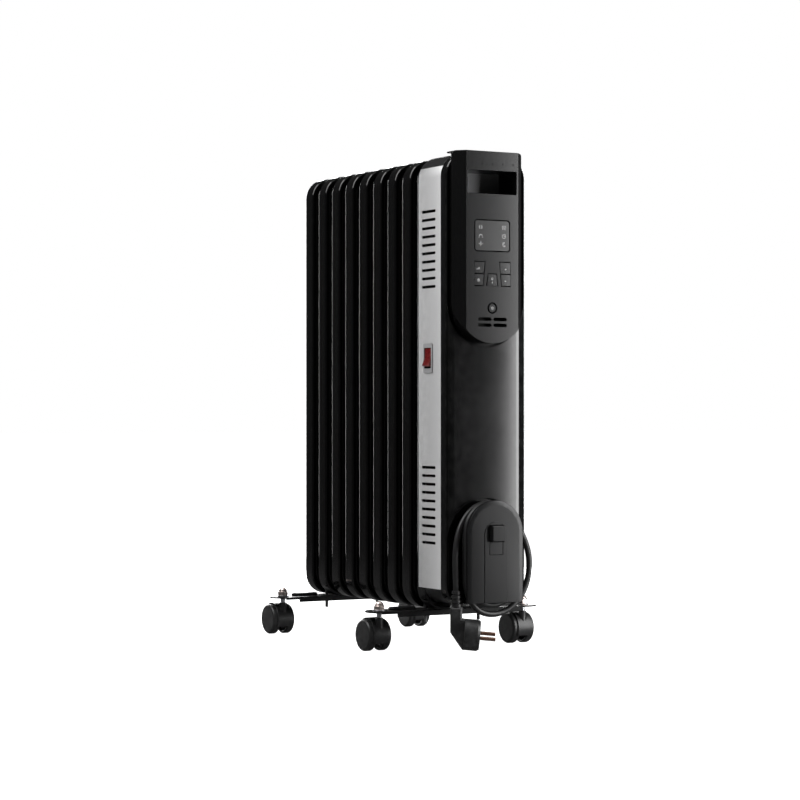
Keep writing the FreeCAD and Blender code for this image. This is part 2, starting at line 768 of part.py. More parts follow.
def front_cover():
    """The front moulding: a raised middle between the panel's recess and the cord's arch."""
    part = Solid("front_cover", y="cover_back")
    slab = part.outline("XZ")
    slab.rounded_box("housing_half", "housing_bottom", "housing_top", "housing_low_corner",
                     "housing_corner")
    part.pad(slab, "cover_depth")
    front = number("-cover_depth")
    part.fillet("cover_edge", lambda edge: lies_at(edge, "Y", front))
    deep = "cover_depth - cover_floor"
    upper = part.outline("XZ", "cover_depth")
    recess(upper, "panel_round_height", "housing_top - cover_rim", "housing_corner - cover_rim")
    part.pocket(upper, deep)
    lower = part.outline("XZ", "cover_depth")
    recess(lower, "arch_recess_height", "housing_bottom + cover_rim", "housing_low_corner - cover_rim")
    part.pocket(lower, deep)
    way_out = part.outline("XZ", "cover_depth")
    open_half = "(housing_half - housing_low_corner)"
    way_out.box(f"-{open_half}", open_half, "housing_bottom - 1", "housing_bottom + cover_rim + 2")
    part.pocket(way_out, deep)
    hollow = part.outline("XZ")
    hollow.box("cover_floor - recess_half", "recess_half - cover_floor",
               "arch_recess_height + recess_half + cover_floor",
               "panel_round_height - recess_half - cover_floor")
    part.pocket(hollow, deep, reverse=True)
    grip = part.outline("XZ")
    reach = "(grip_height / 2 + grip_wall + seat_gap)"
    side = "grip_width / 2 + grip_wall + seat_gap"
    grip.box(f"-({side})", side, f"grip_middle - {reach}", f"grip_middle + {reach}")
    part.pocket(grip, "cover_depth", reverse=True)
    wires = part.outline("XZ")
    wires.box("-18", "18", "440", "456")
    part.pocket(wires, "cover_depth", reverse=True)
    return part


# ---------------------------------------------------------------- control panel
MITRE = "0.414"             # tan(22.5 degrees): how far a 45 degree corner of a wall moves inwards


def key_outline(outline, sign, top, low, grow="0", sideways="0"):
    """One side key, or the window of a pair, between two heights. The inner edge leans outwards as
    it comes down."""
    grown_top, grown_low = f"({top} + {grow})", f"({low} - ({grow}))"
    lean = "(key_row_height + key_height - ({0})) * key_slant / (2 * key_height)"
    inner_top = f"{sign} * (key_inner + {lean.format(grown_top)} - ({grow}) - ({sideways}))"
    inner_low = f"{sign} * (key_inner + {lean.format(grown_low)} - ({grow}) - ({sideways}))"
    outer = f"{sign} * (key_outer + {grow} / 3 + {sideways})"
    outline.chain((inner_top, grown_top), (inner_low, grown_low), (outer, grown_low), (outer, grown_top))
    return outline


def middle_key_outline(outline, grow="0", upright="0"):
    """The trapezoid key between the side keys."""
    top, low = f"(key_row_height + {grow} + {upright})", f"(key_row_height - key_height - {grow} - {upright})"
    outline.chain((f"-middle_key_top - {grow}", top), (f"-middle_key_bottom - {grow}", low),
                  (f"middle_key_bottom + {grow}", low), (f"middle_key_top + {grow}", top))
    return outline


def control_panel():
    """The panel housing: a U-shaped shell with bevelled sides, a grip cup and all its windows."""
    part = Solid("control_panel", y="cover_back")
    top = "panel_ceiling"
    shoulder, corner = f"({top} - panel_top_corner)", "(panel_half_width - panel_top_corner)"
    block = part.outline("XZ", "floor_front")
    block.chain(
        ("-panel_half_width", "panel_round_height"),
        ("panel_half_width", "panel_round_height", "0", "panel_round_height", 1),
        ("panel_half_width", shoulder), (corner, top, corner, shoulder, 1),
        (f"-{corner}", top), ("-panel_half_width", shoulder, f"-{corner}", shoulder, 1),
    )
    part.pad(block, "face_reach - floor_front")
    bevel_end = "(side_bevel_depth - face_reach)"
    for sign in ("-1", "1"):
        bevel = part.outline("XY")
        bevel.chain((f"{sign} * face_half_width", "-face_reach"),
                    (f"{sign} * panel_half_width", bevel_end),
                    (f"{sign} * (panel_half_width + 1)", bevel_end),
                    (f"{sign} * (panel_half_width + 1)", "-face_reach - 1"),
                    (f"{sign} * face_half_width", "-face_reach - 1"))
        cut = part.feature("Pocket", bevel)
        cut.Type = "ThroughAll"
        cut.Reversed = True
    # Room for the front cover's rim, under the lip
    inner, crown = "(recess_half - seat_gap)", "(housing_top - cover_rim - seat_gap)"
    round_off = "(housing_corner - cover_rim - seat_gap)"
    spring, ceiling = f"({crown} - {round_off})", "housing_top + seat_gap"
    notch = part.outline("XZ", "cover_depth + seat_gap")
    notch.chain((f"-{inner} - 1", spring), (f"-{inner}", spring),
                (f"{round_off} - {inner}", crown, f"{round_off} - {inner}", spring, -1),
                (f"{inner} - {round_off}", crown),
                (inner, spring, f"{inner} - {round_off}", spring, -1),
                (f"{inner} + 1", spring), (f"{inner} + 1", ceiling), (f"-{inner} - 1", ceiling))
    part.pocket(notch, "cover_depth + seat_gap")
    lip = part.outline("XZ", "-lip_depth")
    lip.box(f"-{corner}", corner, ceiling, top)
    part.pad(lip, "lip_depth + floor_front + 1")
    # Inside of the shell
    wall_half, face_half = "(panel_half_width - panel_wall)", f"(face_half_width - {MITRE} * panel_wall)"
    bevel_start = f"(face_reach - side_bevel_depth - {MITRE} * panel_wall)"
    room = part.outline("XY", "panel_round_height")
    room.chain((f"-{wall_half}", "0"), (wall_half, "0"), (wall_half, f"-{bevel_start}"),
               (face_half, "-face_back"), (f"-{face_half}", "-face_back"),
               (f"-{wall_half}", f"-{bevel_start}"))
    part.pocket(room, f"{crown} - panel_wall - panel_round_height", reverse=True)
    bowl = part.outline("XZ", "floor_front")
    bowl.arch(wall_half, "panel_round_height + 1", "panel_round_height")
    part.pocket(bowl, f"{bevel_start} - floor_front", reverse=True)
    drop = f"(panel_round_height - sqrt({wall_half} ^ 2 - {face_half} ^ 2))"
    deep_bowl = part.outline("XZ", "floor_front")
    deep_bowl.chain((f"-{face_half}", drop), (face_half, drop, "0", "panel_round_height", 1),
                    (face_half, "panel_round_height + 1"), (f"-{face_half}", "panel_round_height + 1"))
    part.pocket(deep_bowl, "face_back - floor_front", reverse=True)
    for x, z in PANEL_POSTS:
        post = part.outline("XZ", "board_reach + seat_gap")
        post.circle("3", x, z)
        part.pad(post, "face_back - board_reach")
    # Grip cup
    cup = part.outline("XZ", "face_reach - grip_depth - grip_wall")
    cup.box("-grip_width / 2 - grip_wall", "grip_width / 2 + grip_wall",
            "grip_middle - grip_height / 2 - grip_wall", "grip_middle + grip_height / 2 + grip_wall")
    part.pad(cup, "grip_depth + grip_wall - panel_wall / 2")
    front = "face_reach"
    through = "panel_wall + 0.4"
    mouth = part.outline("XZ", front)
    mouth.rounded_box("grip_width / 2", "grip_middle - grip_height / 2",
                      "grip_middle + grip_height / 2", "1.5", "1.5")
    part.pocket(mouth, "grip_depth")
    # Windows in the face
    half_window, window_half = "window_width / 2", "window_height / 2"
    seat = part.outline("XZ", front)
    seat.rounded_box(half_window, f"window_middle - {window_half}", f"window_middle + {window_half}",
                     "window_corner", "window_corner")
    part.pocket(seat, "window_thickness + 0.2")
    opening = part.outline("XZ", front)
    opening.rounded_box(f"{half_window} - 1.5", f"window_middle - {window_half} + 1.5",
                        f"window_middle + {window_half} - 1.5", "1", "1")
    part.pocket(opening, through)
    for sign in ("-1", "1"):
        pair = part.outline("XZ", front)
        key_outline(pair, sign, "(key_row_height + key_height)", "(key_row_height - key_height)", "key_gap")
        part.pocket(pair, through)
    middle = part.outline("XZ", front)
    part.pocket(middle_key_outline(middle, "key_gap"), through)
    power = part.outline("XZ", front)
    power.circle("power_key_radius + key_gap", "0", "power_key_height")
    part.pocket(power, through)
    vents = part.outline("XZ", front)
    for sign in ("-1", "1"):
        for height in ("vent_low", "vent_low + vent_pitch"):
            vents.slot("vent_length / 2", "vent_height / 2", f"{sign} * vent_offset", height)
    part.pocket(vents, through)
    pinhole = part.outline("XZ", front)
    pinhole.circle("pinhole_radius", "-2 * pinhole_pitch", "pinhole_height")
    cut = part.pocket(pinhole, through)
    part.pattern([cut], "X", "4 * pinhole_pitch", "5")
    return part


PANEL_POSTS = [(x, z) for x in ("-31", "31") for z in ("437", "552")]


def display_window():
    """The smoked plate over the display, seated in its rebate."""
    part = Solid("display_window", y="cover_back")
    half_window, window_half = "(window_width / 2 - 0.15)", "(window_height / 2 - 0.15)"
    plate = part.outline("XZ", "face_reach - 0.2 - window_thickness + 0.05")
    plate.rounded_box(half_window, f"window_middle - {window_half}", f"window_middle + {window_half}",
                      "window_corner - 0.15", "window_corner - 0.15")
    part.pad(plate, "window_thickness")
    return part


def control_board():
    """The low-voltage board with its display block and a tactile switch behind every key."""
    part = Solid("control_board", y="cover_back")
    board = part.outline("XZ", "board_reach - board_thickness")
    board.box("-34", "34", "421", "559")
    part.pad(board, "board_thickness")
    display = part.outline("XZ", "board_reach - board_thickness / 2")
    display.box("-21", "21", "window_middle - 19", "window_middle + 19")
    part.pad(display, "board_thickness / 2 + 11")
    for x, z in KEY_CENTRES.values():
        case = part.outline("XZ", "board_reach - board_thickness / 2")
        case.box(f"{x} - 3", f"{x} + 3", f"{z} - 3", f"{z} + 3")
        part.pad(case, "board_thickness / 2 + 3.5")
        plunger = part.outline("XZ", "board_reach + 3")
        plunger.circle("1.7", x, z)
        part.pad(plunger, "switch_stroke_top - 3")
    return part


KEY_CENTRES = {
    "key_left_upper": ("-19", "key_row_height + key_height / 2"),
    "key_left_lower": ("-19", "key_row_height - key_height / 2"),
    "key_right_upper": ("19", "key_row_height + key_height / 2"),
    "key_right_lower": ("19", "key_row_height - key_height / 2"),
    "key_middle": ("0", "key_row_height - key_height / 2"),
    "power_key": ("0", "power_key_height"),
}


def key(name):
    """A key: its cap in the face, a flange behind the wall that keeps it in, and its stem."""
    x, z = KEY_CENTRES[name]
    part = Solid(name, y="cover_back")
    flange_front = "(face_back - seat_gap)"
    cap = part.outline("XZ", f"{flange_front} - 1")
    flange = part.outline("XZ", f"{flange_front} - 1")
    sign = "-1" if "left" in name else "1"
    top = "(key_row_height + key_height)" if "upper" in name else "(key_row_height - key_gap / 2)"
    low = "(key_row_height + key_gap / 2)" if "upper" in name else "(key_row_height - key_height)"
    if name == "power_key":
        cap.circle("power_key_radius", x, z)
        flange.circle("power_key_radius + key_flange", x, z)
    elif name == "key_middle":
        middle_key_outline(cap)
        middle_key_outline(flange, upright="key_flange")
    else:
        key_outline(cap, sign, top, low)
        key_outline(flange, sign, top, low, sideways="key_flange")
    part.pad(cap, f"face_reach - {flange_front} + 1")
    part.pad(flange, "1")
    stem_end = "(board_reach + switch_stroke_top + 0.1 + key_travel)"
    stem = part.outline("XZ", stem_end)
    stem.circle("stem_of_key", x, z)
    part.pad(stem, f"{flange_front} - {stem_end}")
    return part


# ---------------------------------------------------------------- rocker switch
def switch_case():
    """The switch's bezel and its box behind the side panel. X = 0 is the panel's face."""
    part = Solid("switch_case", x="-housing_half", y="cover_back + switch_offset", z="switch_height")
    bezel = part.outline("YZ")
    bezel.rounded_box("bezel_width / 2", "-bezel_height / 2", "bezel_height / 2", "2", "2")
    part.pad(bezel, "bezel_thickness", reverse=True)
    box = part.outline("YZ")
    box.box("1.7 - bezel_width / 2", "bezel_width / 2 - 1.7", "1.7 - bezel_height / 2",
            "bezel_height / 2 - 1.7")
    part.pad(box, "switch_body")
    room = part.outline("YZ", "-bezel_thickness")
    room.box("-rocker_width / 2 - 0.3", "rocker_width / 2 + 0.3", "-rocker_half - 1.7",
             "rocker_half + 1.7")
    part.pocket(room, "bezel_thickness + switch_body - switch_wall - 4", reverse=True)
    hole = part.outline("XZ")
    hole.circle("rocker_pin + running_gap", "rocker_pivot", "0")
    part.pocket(hole, "rocker_width + 2.4", middle=True)
    for z in ("-9", "0", "9"):
        blade = part.outline("YZ", "switch_body - 0.5")
        blade.box("-3", "3", f"{z} - 0.4", f"{z} + 0.4")
        part.pad(blade, "8")
    return part


def rocker():
    """The lit red rocker, drawn level about its pivot and stored with its lower half out."""
    part = Solid("rocker", x="rocker_pivot - housing_half", y="cover_back + switch_offset",
                 z="switch_height")
    part.body.Placement.Rotation = Rotation(Vector(0, 1, 0), number("rocker_tilt"))
    lean = "(rocker_half * 0.2126)"
    side = part.outline("XZ")
    crest = "-7.2"
    side.chain((crest, "rocker_half"), (f"{crest} + {lean}", "0"), (crest, "-rocker_half"),
               ("-3", "-rocker_half - 0.9"), ("1.5", "-7"), ("3.4", "0"), ("1.5", "7"),
               ("-3", "rocker_half + 0.9"))
    part.pad(side, "rocker_width", middle=True)
    pin = part.outline("XZ")
    pin.circle("rocker_pin")
    part.pad(pin, "rocker_width + 2", middle=True)
    return part


# ---------------------------------------------------------------- cord storage
def cord_storage_core():
    """The hollow oval that the cord is wound on."""
    part = Solid("cord_storage_core", y="cover_back")
    oval = part.outline("XZ", "floor_front")
    oval.stadium("core_half_width", "core_low_height", "storage_round_height")
    part.pad(oval, "storage_back - floor_front")
    inside = part.outline("XZ", "floor_front")
    inside.stadium("core_half_width - core_wall", "core_low_height", "storage_round_height")
    part.pocket(inside, "storage_back - floor_front - core_wall", reverse=True)
    room = part.outline("XZ", "storage_back")
    room.box("-tongue_half_width - 1", "tongue_half_width + 1", "tongue_root - 2", "tongue_top + 2")
    part.pocket(room, "core_wall + 1")
    return part


def cord_storage_cover():
    """The arched plate in front of the winding, with a raised panel and a slot for the tongue."""
    part = Solid("cord_storage_cover", y="cover_back")
    plate = part.outline("XZ", "storage_back")
    plate.arch("storage_half_width", "storage_bottom", "storage_round_height")
    part.pad(plate, "storage_plate - storage_bevel")
    low_edge = part.outline("XZ", "storage_reach - storage_bevel")
    low_edge.arch("storage_half_width", "storage_bottom", "storage_round_height")
    high_edge = part.outline("XZ", "storage_reach")
    high_edge.arch("storage_half_width - 5 * storage_bevel", "storage_bottom", "storage_round_height")
    crown = part.feature("AdditiveLoft", low_edge)
    crown.Sections = [high_edge.sketch]
    crown.Ruled = True
    raised = part.outline("XZ", "storage_reach - storage_bevel")
    raised.arch("arch_half_width", "storage_bottom", "arch_round_height")
    part.pad(raised, "storage_bevel + arch_relief")
    slot = part.outline("XZ", "storage_back")
    slot.box("-tongue_half_width - 0.4", "tongue_half_width + 0.4", "tongue_root", "tongue_top + 0.4")
    part.pocket(slot, "storage_plate + arch_relief + 1", reverse=True)
    return part


def cord_latch():
    """The springy tongue of the storage cover with its finger block."""
    part = Solid("cord_latch", y="cover_back")
    tongue = part.outline("XZ", "storage_back")
    tongue.box("-tongue_half_width", "tongue_half_width", "tongue_root + seat_gap", "tongue_top")
    part.pad(tongue, "storage_plate + arch_relief")
    block = part.outline("XZ", "storage_reach")
    block.box("-tongue_half_width", "tongue_half_width", "finger_bottom", "tongue_top")
    part.pad(block, "finger_reach")
    front = number("-storage_reach - finger_reach")
    part.chamfer("1.2", lambda edge: lies_at(edge, "Y", front))
    return part


# ---------------------------------------------------------------- cord
def cord_gland():
    """The boss on the recess floor from which the cord leaves, pointing up."""
    block = primitive("Box", "gland_block", ("gland_x - 7", "cover_back - gland_reach - 6.5", "gland_low"),
                      Length="14", Width="gland_reach + 6.5 - floor_front", Height="18")
    sleeve = primitive("Cone", "gland_sleeve", ("gland_x", "cover_back - gland_reach", "gland_low + 17"),
                       Radius1="6.2", Radius2="cord_diameter / 2 + 1.1", Height="23")
    return fused("cord_gland", [block, sleeve])


def cord_coil():
    """The outer shape of the turns on the core."""
    part = Solid("cord_coil", y="cover_back")
    ring = part.outline("XZ", "coil_back")
    ring.stadium("coil_outer", "core_low_height", "storage_round_height")
    ring.stadium("coil_inner", "core_low_height", "storage_round_height")
    part.pad(ring, "coil_depth")
    return part


# The cord's free stretches about the front cover's back plane: from the gland up into the winding,
# and from the winding's last turn once round it, loosely, and down to the plug.
LEAD_ROUTE = (
    (41, -9.6, 111), (41, -9.6, 128), (39.5, -9.6, 146), (33.5, -9.6, 162.5), (20.5, -9.6, 175),
    (3, -9.6, 179),
)
LOOSE_ROUTE = (
    (17, -25.8, 63.5), (29.5, -25.8, 74.5), (36, -25.8, 91.5), (36.8, -25.8, 112), (36.8, -25.8, 133),
    (36.2, -25.8, 154), (28.3, -25.8, 172.5), (12.5, -25.8, 184.8), (-6.5, -25.8, 186.8),
    (-24, -25.8, 179.5), (-34.8, -25.8, 164), (-36.8, -25.8, 146.5), (-36.3, -25.6, 126),
    (-36.3, -25.2, 105), (-36.3, -24.6, 84.5), (-29.5, -23.6, 65.5), (-15, -22.8, 52), (4, -22, 48),
    (23, -21.5, 51.5), (39, -21, 61.5), (51.5, -20.5, 77), (58, -20.5, 96), (58.8, -20.5, 118),
    (53, -20, 138.5), (42, -18.8, 158), (26, -17.6, 176), (6.5, -17.3, 186.5), (-15, -17.4, 184.5),
    (-32, -18.2, 172), (-43.5, -20, 154), (-49, -21.5, 132), (-49.8, -22, 108), (-48.4, -22, 78.5),
)


def power_cord():
    """The cord where it isn't wound."""
    origin = Vector(0, number("cover_back"), 0)
    diameter = number("cord_diameter")
    tubes = [tube(points_at(route, origin), diameter) for route in (LEAD_ROUTE, LOOSE_ROUTE)]
    return plain_feature("power_cord", Part.makeCompound(tubes))


PLUG_DIP = 5                # degrees below level


def plug_turn(dip=0, roll=0):
    """The plug's heading: its pins point right and a little forward, and may dip and roll."""
    heading = Rotation(Vector(0, 0, 1), -30)
    return heading * Rotation(Vector(0, 1, 0), dip) * Rotation(Vector(1, 0, 0), roll)


def plug_place(along, height, turn):
    """A point along the plug's heading from the cord's end, at a height."""
    end = LOOSE_ROUTE[-1]
    start = Vector(end[0], end[1] + number("cover_back"), height)
    return Placement(start + plug_turn().multVec(Vector(along, 0, 0)), turn)


def disc_along_x(kind, name, place, **sizes):
    """A Part primitive whose axis lies along a placement's X direction."""
    item = DOC.addObject(f"Part::{kind}", name)
    for size, text in sizes.items():
        item.setExpression(size, formula(text))
    item.Placement = place * Placement(Vector(), Rotation(Vector(0, 1, 0), 90))
    return item


def plug_body():
    """The moulded angled plug: ribbed strain relief, flat grip and round head."""
    end = LOOSE_ROUTE[-1]
    part = Solid("plug_grip", x=f"{end[0]}", y=f"cover_back + ({end[1]})")
    part.body.Placement = Placement(part.body.Placement.Base, plug_turn())
    grip = part.outline("XZ")
    grip.chain(("-7.4", "29"), ("7", "8"), ("16", "8"), ("16", "44"), ("7.4", "46"), ("7.4", "60"),
               ("-7.4", "60"))
    part.pad(grip, "16", middle=True)
    part.chamfer("2.2", lambda edge: lies_at(edge, "Y", 8) or lies_at(edge, "Y", -8))
    relief = part.outline("XZ")
    steps = [("0", "54"), ("6.9", "54"), ("6.9", "58")]
    for ring in range(4):
        foot = 58 + 5.4 * ring
        radius = 6.9 - 0.45 * ring
        steps += [(f"{radius - 1.3}", f"{foot + 0.1}"), (f"{radius - 1.3}", f"{foot + 2}"),
                  (f"{radius}", f"{foot + 2.1}"), (f"{radius - 0.2}", f"{foot + 5.4}")]
    steps += [("0", "79.6")]
    relief.chain(*steps)
    part.revolve(relief, "Z")
    head = disc_along_x("Cylinder", "plug_head", plug_place(9.5, 26.6, plug_turn(PLUG_DIP)),
                        Radius="plug_radius", Height="16.5")
    nose = disc_along_x("Cone", "plug_nose", plug_place(25.9, 25.2, plug_turn(PLUG_DIP)),
                        Radius1="plug_radius", Radius2="plug_radius - 1.6", Height="3")
    return fused("plug_body", [part, head, nose])


def plug_pins():
    """The two round pins."""
    pins = []
    for side in ("-pin_spacing / 2", "pin_spacing / 2"):
        turn = plug_turn(PLUG_DIP, 14)
        place = plug_place(29.2, 24.9, turn)
        place.Base += turn.multVec(Vector(0, number(side), 0))
        pins.append(disc_along_x("Cylinder", "plug_pin", place, Radius="pin_radius", Height="19"))
    return grouped("plug_pins", pins)


# ---------------------------------------------------------------- castor plates
def castor_plate(name, y):
    """A cross plate under the fins, with round ends, down-turned skirts and stiffening beads."""
    part = Solid(name, y=y)
    sheet = part.outline("XY", "plate_top - plate_sheet")
    sheet.slot("plate_length / 2", "plate_width / 2")
    part.pad(sheet, "plate_sheet")
    skirts = part.outline("XY", "plate_top - plate_skirt")
    for sign in ("-1", "1"):
        outer, inner = f"{sign} * plate_width / 2", f"{sign} * (plate_width / 2 - plate_sheet)"
        skirts.box("-skirt_length / 2", "skirt_length / 2", outer, inner)
    part.pad(skirts, "plate_skirt - plate_sheet / 2")
    beads = part.outline("XY", "plate_top - plate_sheet / 2")
    for sign in ("-1", "1"):
        beads.slot("bead_length / 2", "bead_width / 2", f"{sign} * bead_middle", "0")
    part.pad(beads, "plate_sheet / 2 + bead_height")
    crest = number("plate_top + bead_height")
    part.chamfer("1.4", lambda edge: lies_at(edge, "Z", crest))
    hollows = part.outline("XY", "plate_top - plate_sheet")
    for sign in ("-1", "1"):
        hollows.slot("bead_length / 2 - plate_sheet", "bead_width / 2 - plate_sheet",
                     f"{sign} * bead_middle", "0")
    part.pocket(hollows, "bead_height", reverse=True)
    holes = part.outline("XY", "plate_top")
    for sign in ("-1", "1"):
        holes.circle("stem_radius + 0.2", f"{sign} * castor_offset", "0")
        holes.circle("ubolt_rod + 0.3", f"{sign} * ubolt_radius", "0")
    part.pocket(holes, "plate_sheet")
    return part


PLATE_ROWS = {"front": "front_plate_y", "rear": "rear_plate_y"}


def u_bolts():
    """The rods over the bottom header that clamp the plates."""
    bolts = []
    for row in PLATE_ROWS.values():
        pieces = [primitive("Torus", "ubolt_bow", ("0", row, "ubolt_middle"),
                            Rotation(Vector(1, 0, 0), 90), Radius1="ubolt_radius", Radius2="ubolt_rod",
                            Angle3="180")]
        for sign in ("-1", "1"):
            place = (f"{sign} * ubolt_radius", row, "ubolt_foot")
            pieces.append(primitive("Cylinder", "ubolt_leg", place, Radius="ubolt_rod",
                                    Height="ubolt_middle - ubolt_foot"))
        bolts.append(fused("ubolt", pieces))
    return grouped("u_bolts", bolts)


def wing_nuts():
    """Four wing nuts under the plates."""
    nuts = []
    for row in PLATE_ROWS.values():
        for sign in ("-1", "1"):
            part = Solid("wing_nut", x=f"{sign} * ubolt_radius", y=row,
                         z="plate_top - plate_sheet - seat_gap - wing_nut_height")
            hub = part.outline("XY")
            hub.circle("wing_nut_radius")
            part.pad(hub, "wing_nut_height")
            wings = part.outline("XZ")
            for side in ("-1", "1"):
                wings.chain((f"{side} * (ubolt_rod + 0.4)", "wing_nut_height - 0.5"),
                            (f"{side} * (ubolt_rod + 0.4)", "0.5"), (f"{side} * wing_span", "-0.8"),
                            (f"{side} * wing_span", "2.4"))
            part.pad(wings, "1.8", middle=True)
            bore = part.outline("XY")
            bore.circle("ubolt_rod + 0.02")
            part.pocket(bore)
            nuts.append(part)
    return grouped("wing_nuts", nuts)


# ---------------------------------------------------------------- castors
CASTOR_SPOTS = [(f"castor_{row}_{side}", f"{sign} * castor_offset", y)
                for row, y in PLATE_ROWS.items() for side, sign in (("left", "-1"), ("right", "1"))]


def castor_stems():
    """The threaded stems, fixed in the plates."""
    stems = []
    for _, x, y in CASTOR_SPOTS:
        stems.append(primitive("Cylinder", "castor_stem", (x, y, "stem_low"), Radius="stem_radius",
                               Height="plate_top + washer_thickness + nut_height + 2 - stem_low"))
    return grouped("castor_stems", stems)


def washers():
    """A washer under each cap nut."""
    rings = []
    for _, x, y in CASTOR_SPOTS:
        part = Solid("washer", x=x, y=y, z="plate_top")
        ring = part.outline("XY")
        ring.circle("washer_radius")
        ring.circle("stem_radius + 0.2")
        part.pad(ring, "washer_thickness")
        rings.append(part)
    return grouped("washers", rings)


def cap_nuts():
    """Domed hexagon nuts on the stems."""
    nuts = []
    across = number("nut_flats") / math.sqrt(3)
    hexagon = [(f"{across * math.cos(math.radians(60 * n))}", f"{across * math.sin(math.radians(60 * n))}")
               for n in range(6)]
    for _, x, y in CASTOR_SPOTS:
        part = Solid("cap_nut", x=x, y=y, z="plate_top + washer_thickness")
        base = part.outline("XY")
        base.chain(*hexagon)
        part.pad(base, "nut_height")
        dome = part.outline("XZ")
        radius = "(nut_flats / 2 - 0.6)"
        dome.chain(("0", "nut_height - 0.5"), (radius, "nut_height - 0.5"), (radius, "nut_height"),
                   ("0", f"nut_height + {radius}", "0", "nut_height", 1))
        part.revolve(dome, "Z")
        bore = part.outline("XY")
        bore.circle("stem_radius + 0.02")
        part.pocket(bore, "nut_height + 2.2", reverse=True)
        nuts.append(part)
    return grouped("cap_nuts", nuts)


def castor_fork(name, x, y):
    """The swivelling body: stem socket, web, hood over the wheels' tops and the axle."""
    part = Solid(f"{name}_fork", x=x, y=y)
    axle_y, axle_z = "wheel_trail", "wheel_radius"
    low, high = "(wheel_radius + hood_gap)", "(wheel_radius + hood_gap + hood_thickness)"
    tail = "sqrt(3) / 2"
    web = part.outline("YZ")
    web.chain((f"{axle_y} - {high}", axle_z),
              (f"{axle_y} + {high} / 2", f"{axle_z} + {high} * {tail}", axle_y, axle_z, -1),
              (axle_y, f"{axle_z} - 9"))
    part.pad(web, "2 * web_half", middle=True)
    disc = part.outline("YZ")
    disc.circle("11", axle_y, axle_z)
    part.pad(disc, "2 * web_half", middle=True)
    hood = part.outline("YZ")
    dip, drop = "cos(hood_dip)", "sin(hood_dip)"
    hood.chain((f"{axle_y} - {high} * {dip}", f"{axle_z} - {high} * {drop}"),
               (f"{axle_y} + {high} / 2", f"{axle_z} + {high} * {tail}", axle_y, axle_z, -1),
               (f"{axle_y} + {low} / 2", f"{axle_z} + {low} * {tail}"),
               (f"{axle_y} - {low} * {dip}", f"{axle_z} - {low} * {drop}", axle_y, axle_z, 1))
    part.pad(hood, "2 * hood_half", middle=True)
    socket = part.outline("XY", "stem_low - 3")
    socket.circle("socket_radius")
    part.pad(socket, "socket_top - stem_low + 3")
    bore = part.outline("XY", "stem_low - 0.1")
    bore.circle("stem_radius + running_gap")
    part.pocket(bore, "socket_top - stem_low + 0.2", reverse=True)
    axle = part.outline("YZ")
    axle.circle("axle_radius", axle_y, axle_z)
    part.pad(axle, "2 * axle_reach", middle=True)
    return part


def castor_wheel(name, x, y, side):
    """A dished wheel with a closed outer face. Side is -1 or 1 along X."""
    part = Solid(name, x=x, y=f"{y} + wheel_trail", z="wheel_radius")
    inner, outer = f"{side} * wheel_inner", f"{side} * wheel_outer"
    face = f"{side} * (wheel_outer - wheel_face)"
    hub_end = f"{side} * (web_half + seat_gap)"
    cavity = "(wheel_radius - wheel_rim)"
    shape = part.outline("XZ")
    shape.chain(
        (f"{side} * (axle_reach + 0.2)", "0"), (outer, "0"), (outer, "wheel_radius - 3"),
        (f"{side} * (wheel_outer - 1)", "wheel_radius - 1"), (f"{side} * (wheel_outer - 3)", "wheel_radius"),
        (f"{side} * (wheel_inner + 1)", "wheel_radius"), (inner, "wheel_radius - 1"), (inner, cavity),
        (face, f"{cavity} - 1"), (face, "6.5"), (hub_end, "6"), (hub_end, "axle_radius + running_gap"),
        (f"{side} * (axle_reach + 0.2)", "axle_radius + running_gap"),
    )
    part.revolve(shape, "X")
    return part


# ---------------------------------------------------------------- the heater
def build():
    """All sub-parts, in the order in which they go together."""
    parts = [fin(index) for index in range(1, int(number("fin_count")) + 1)]
    parts += [header_collars(), oil_filler_plug(), heating_element()]
    parts += [housing_back_plate(), housing_top_cap(), housing_bottom_pan()]
    parts += [side_panel("side_panel_left", -1), side_panel("side_panel_right", 1), front_cover()]
    parts += [power_board(), tip_over_switch(), thermal_cutout(), wire_harness()]
    parts += [control_panel(), display_window(), control_board()]
    parts += [key(name) for name in KEY_CENTRES]
    parts += [switch_case(), rocker()]
    parts += [cord_storage_core(), cord_storage_cover(), cord_latch()]
    parts += [cord_gland(), cord_coil(), power_cord(), plug_body(), plug_pins()]
    parts += [castor_plate(f"castor_plate_{row}", y) for row, y in PLATE_ROWS.items()]
    parts += [u_bolts(), wing_nuts(), castor_stems(), washers(), cap_nuts()]
    for name, x, y in CASTOR_SPOTS:
        parts.append(castor_fork(name, x, y))
        for side, sign in (("left", -1), ("right", 1)):
            parts.append(castor_wheel(f"{name}_wheel_{side}", x, y, sign))
    return [getattr(part, "body", part) for part in parts]


def check(parts):
    """Stop if a feature failed, a pocket cut nothing or a sub-part has no sound shape."""
    for item in DOC.Objects:
        if {"Invalid", "Error"} & set(item.State):
            raise ValueError(f"{item.Label}: {item.State}")
        if item.TypeId == "PartDesign::Pocket":
            if item.Shape.Volume > item.BaseFeature.Shape.Volume - 0.01:
                raise ValueError(f"{item.Name} cuts nothing")
    for part in parts:
        if part.Shape.isNull() or not part.Shape.isValid() or not part.Shape.Solids:
            raise ValueError(f"{part.Label} has no sound solid")


def main():
    parts = build()
    DOC.recompute()
    check(parts)
    os.makedirs("parts", exist_ok=True)
    for part in parts:
        part.Shape.exportStep(f"parts/{part.Label}.step")
        print(f"{part.Label}: {len(part.Shape.Solids)} solid(s), {part.Shape.Volume:.0f} mm3")
    box = Part.makeCompound([part.Shape for part in parts]).BoundBox
    print(f"{len(parts)} sub-parts, {box.XLength:.1f} x {box.YLength:.1f} x {box.ZLength:.1f} mm")


main()
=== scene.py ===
"""Looks of an oil filled radiator heater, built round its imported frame."""

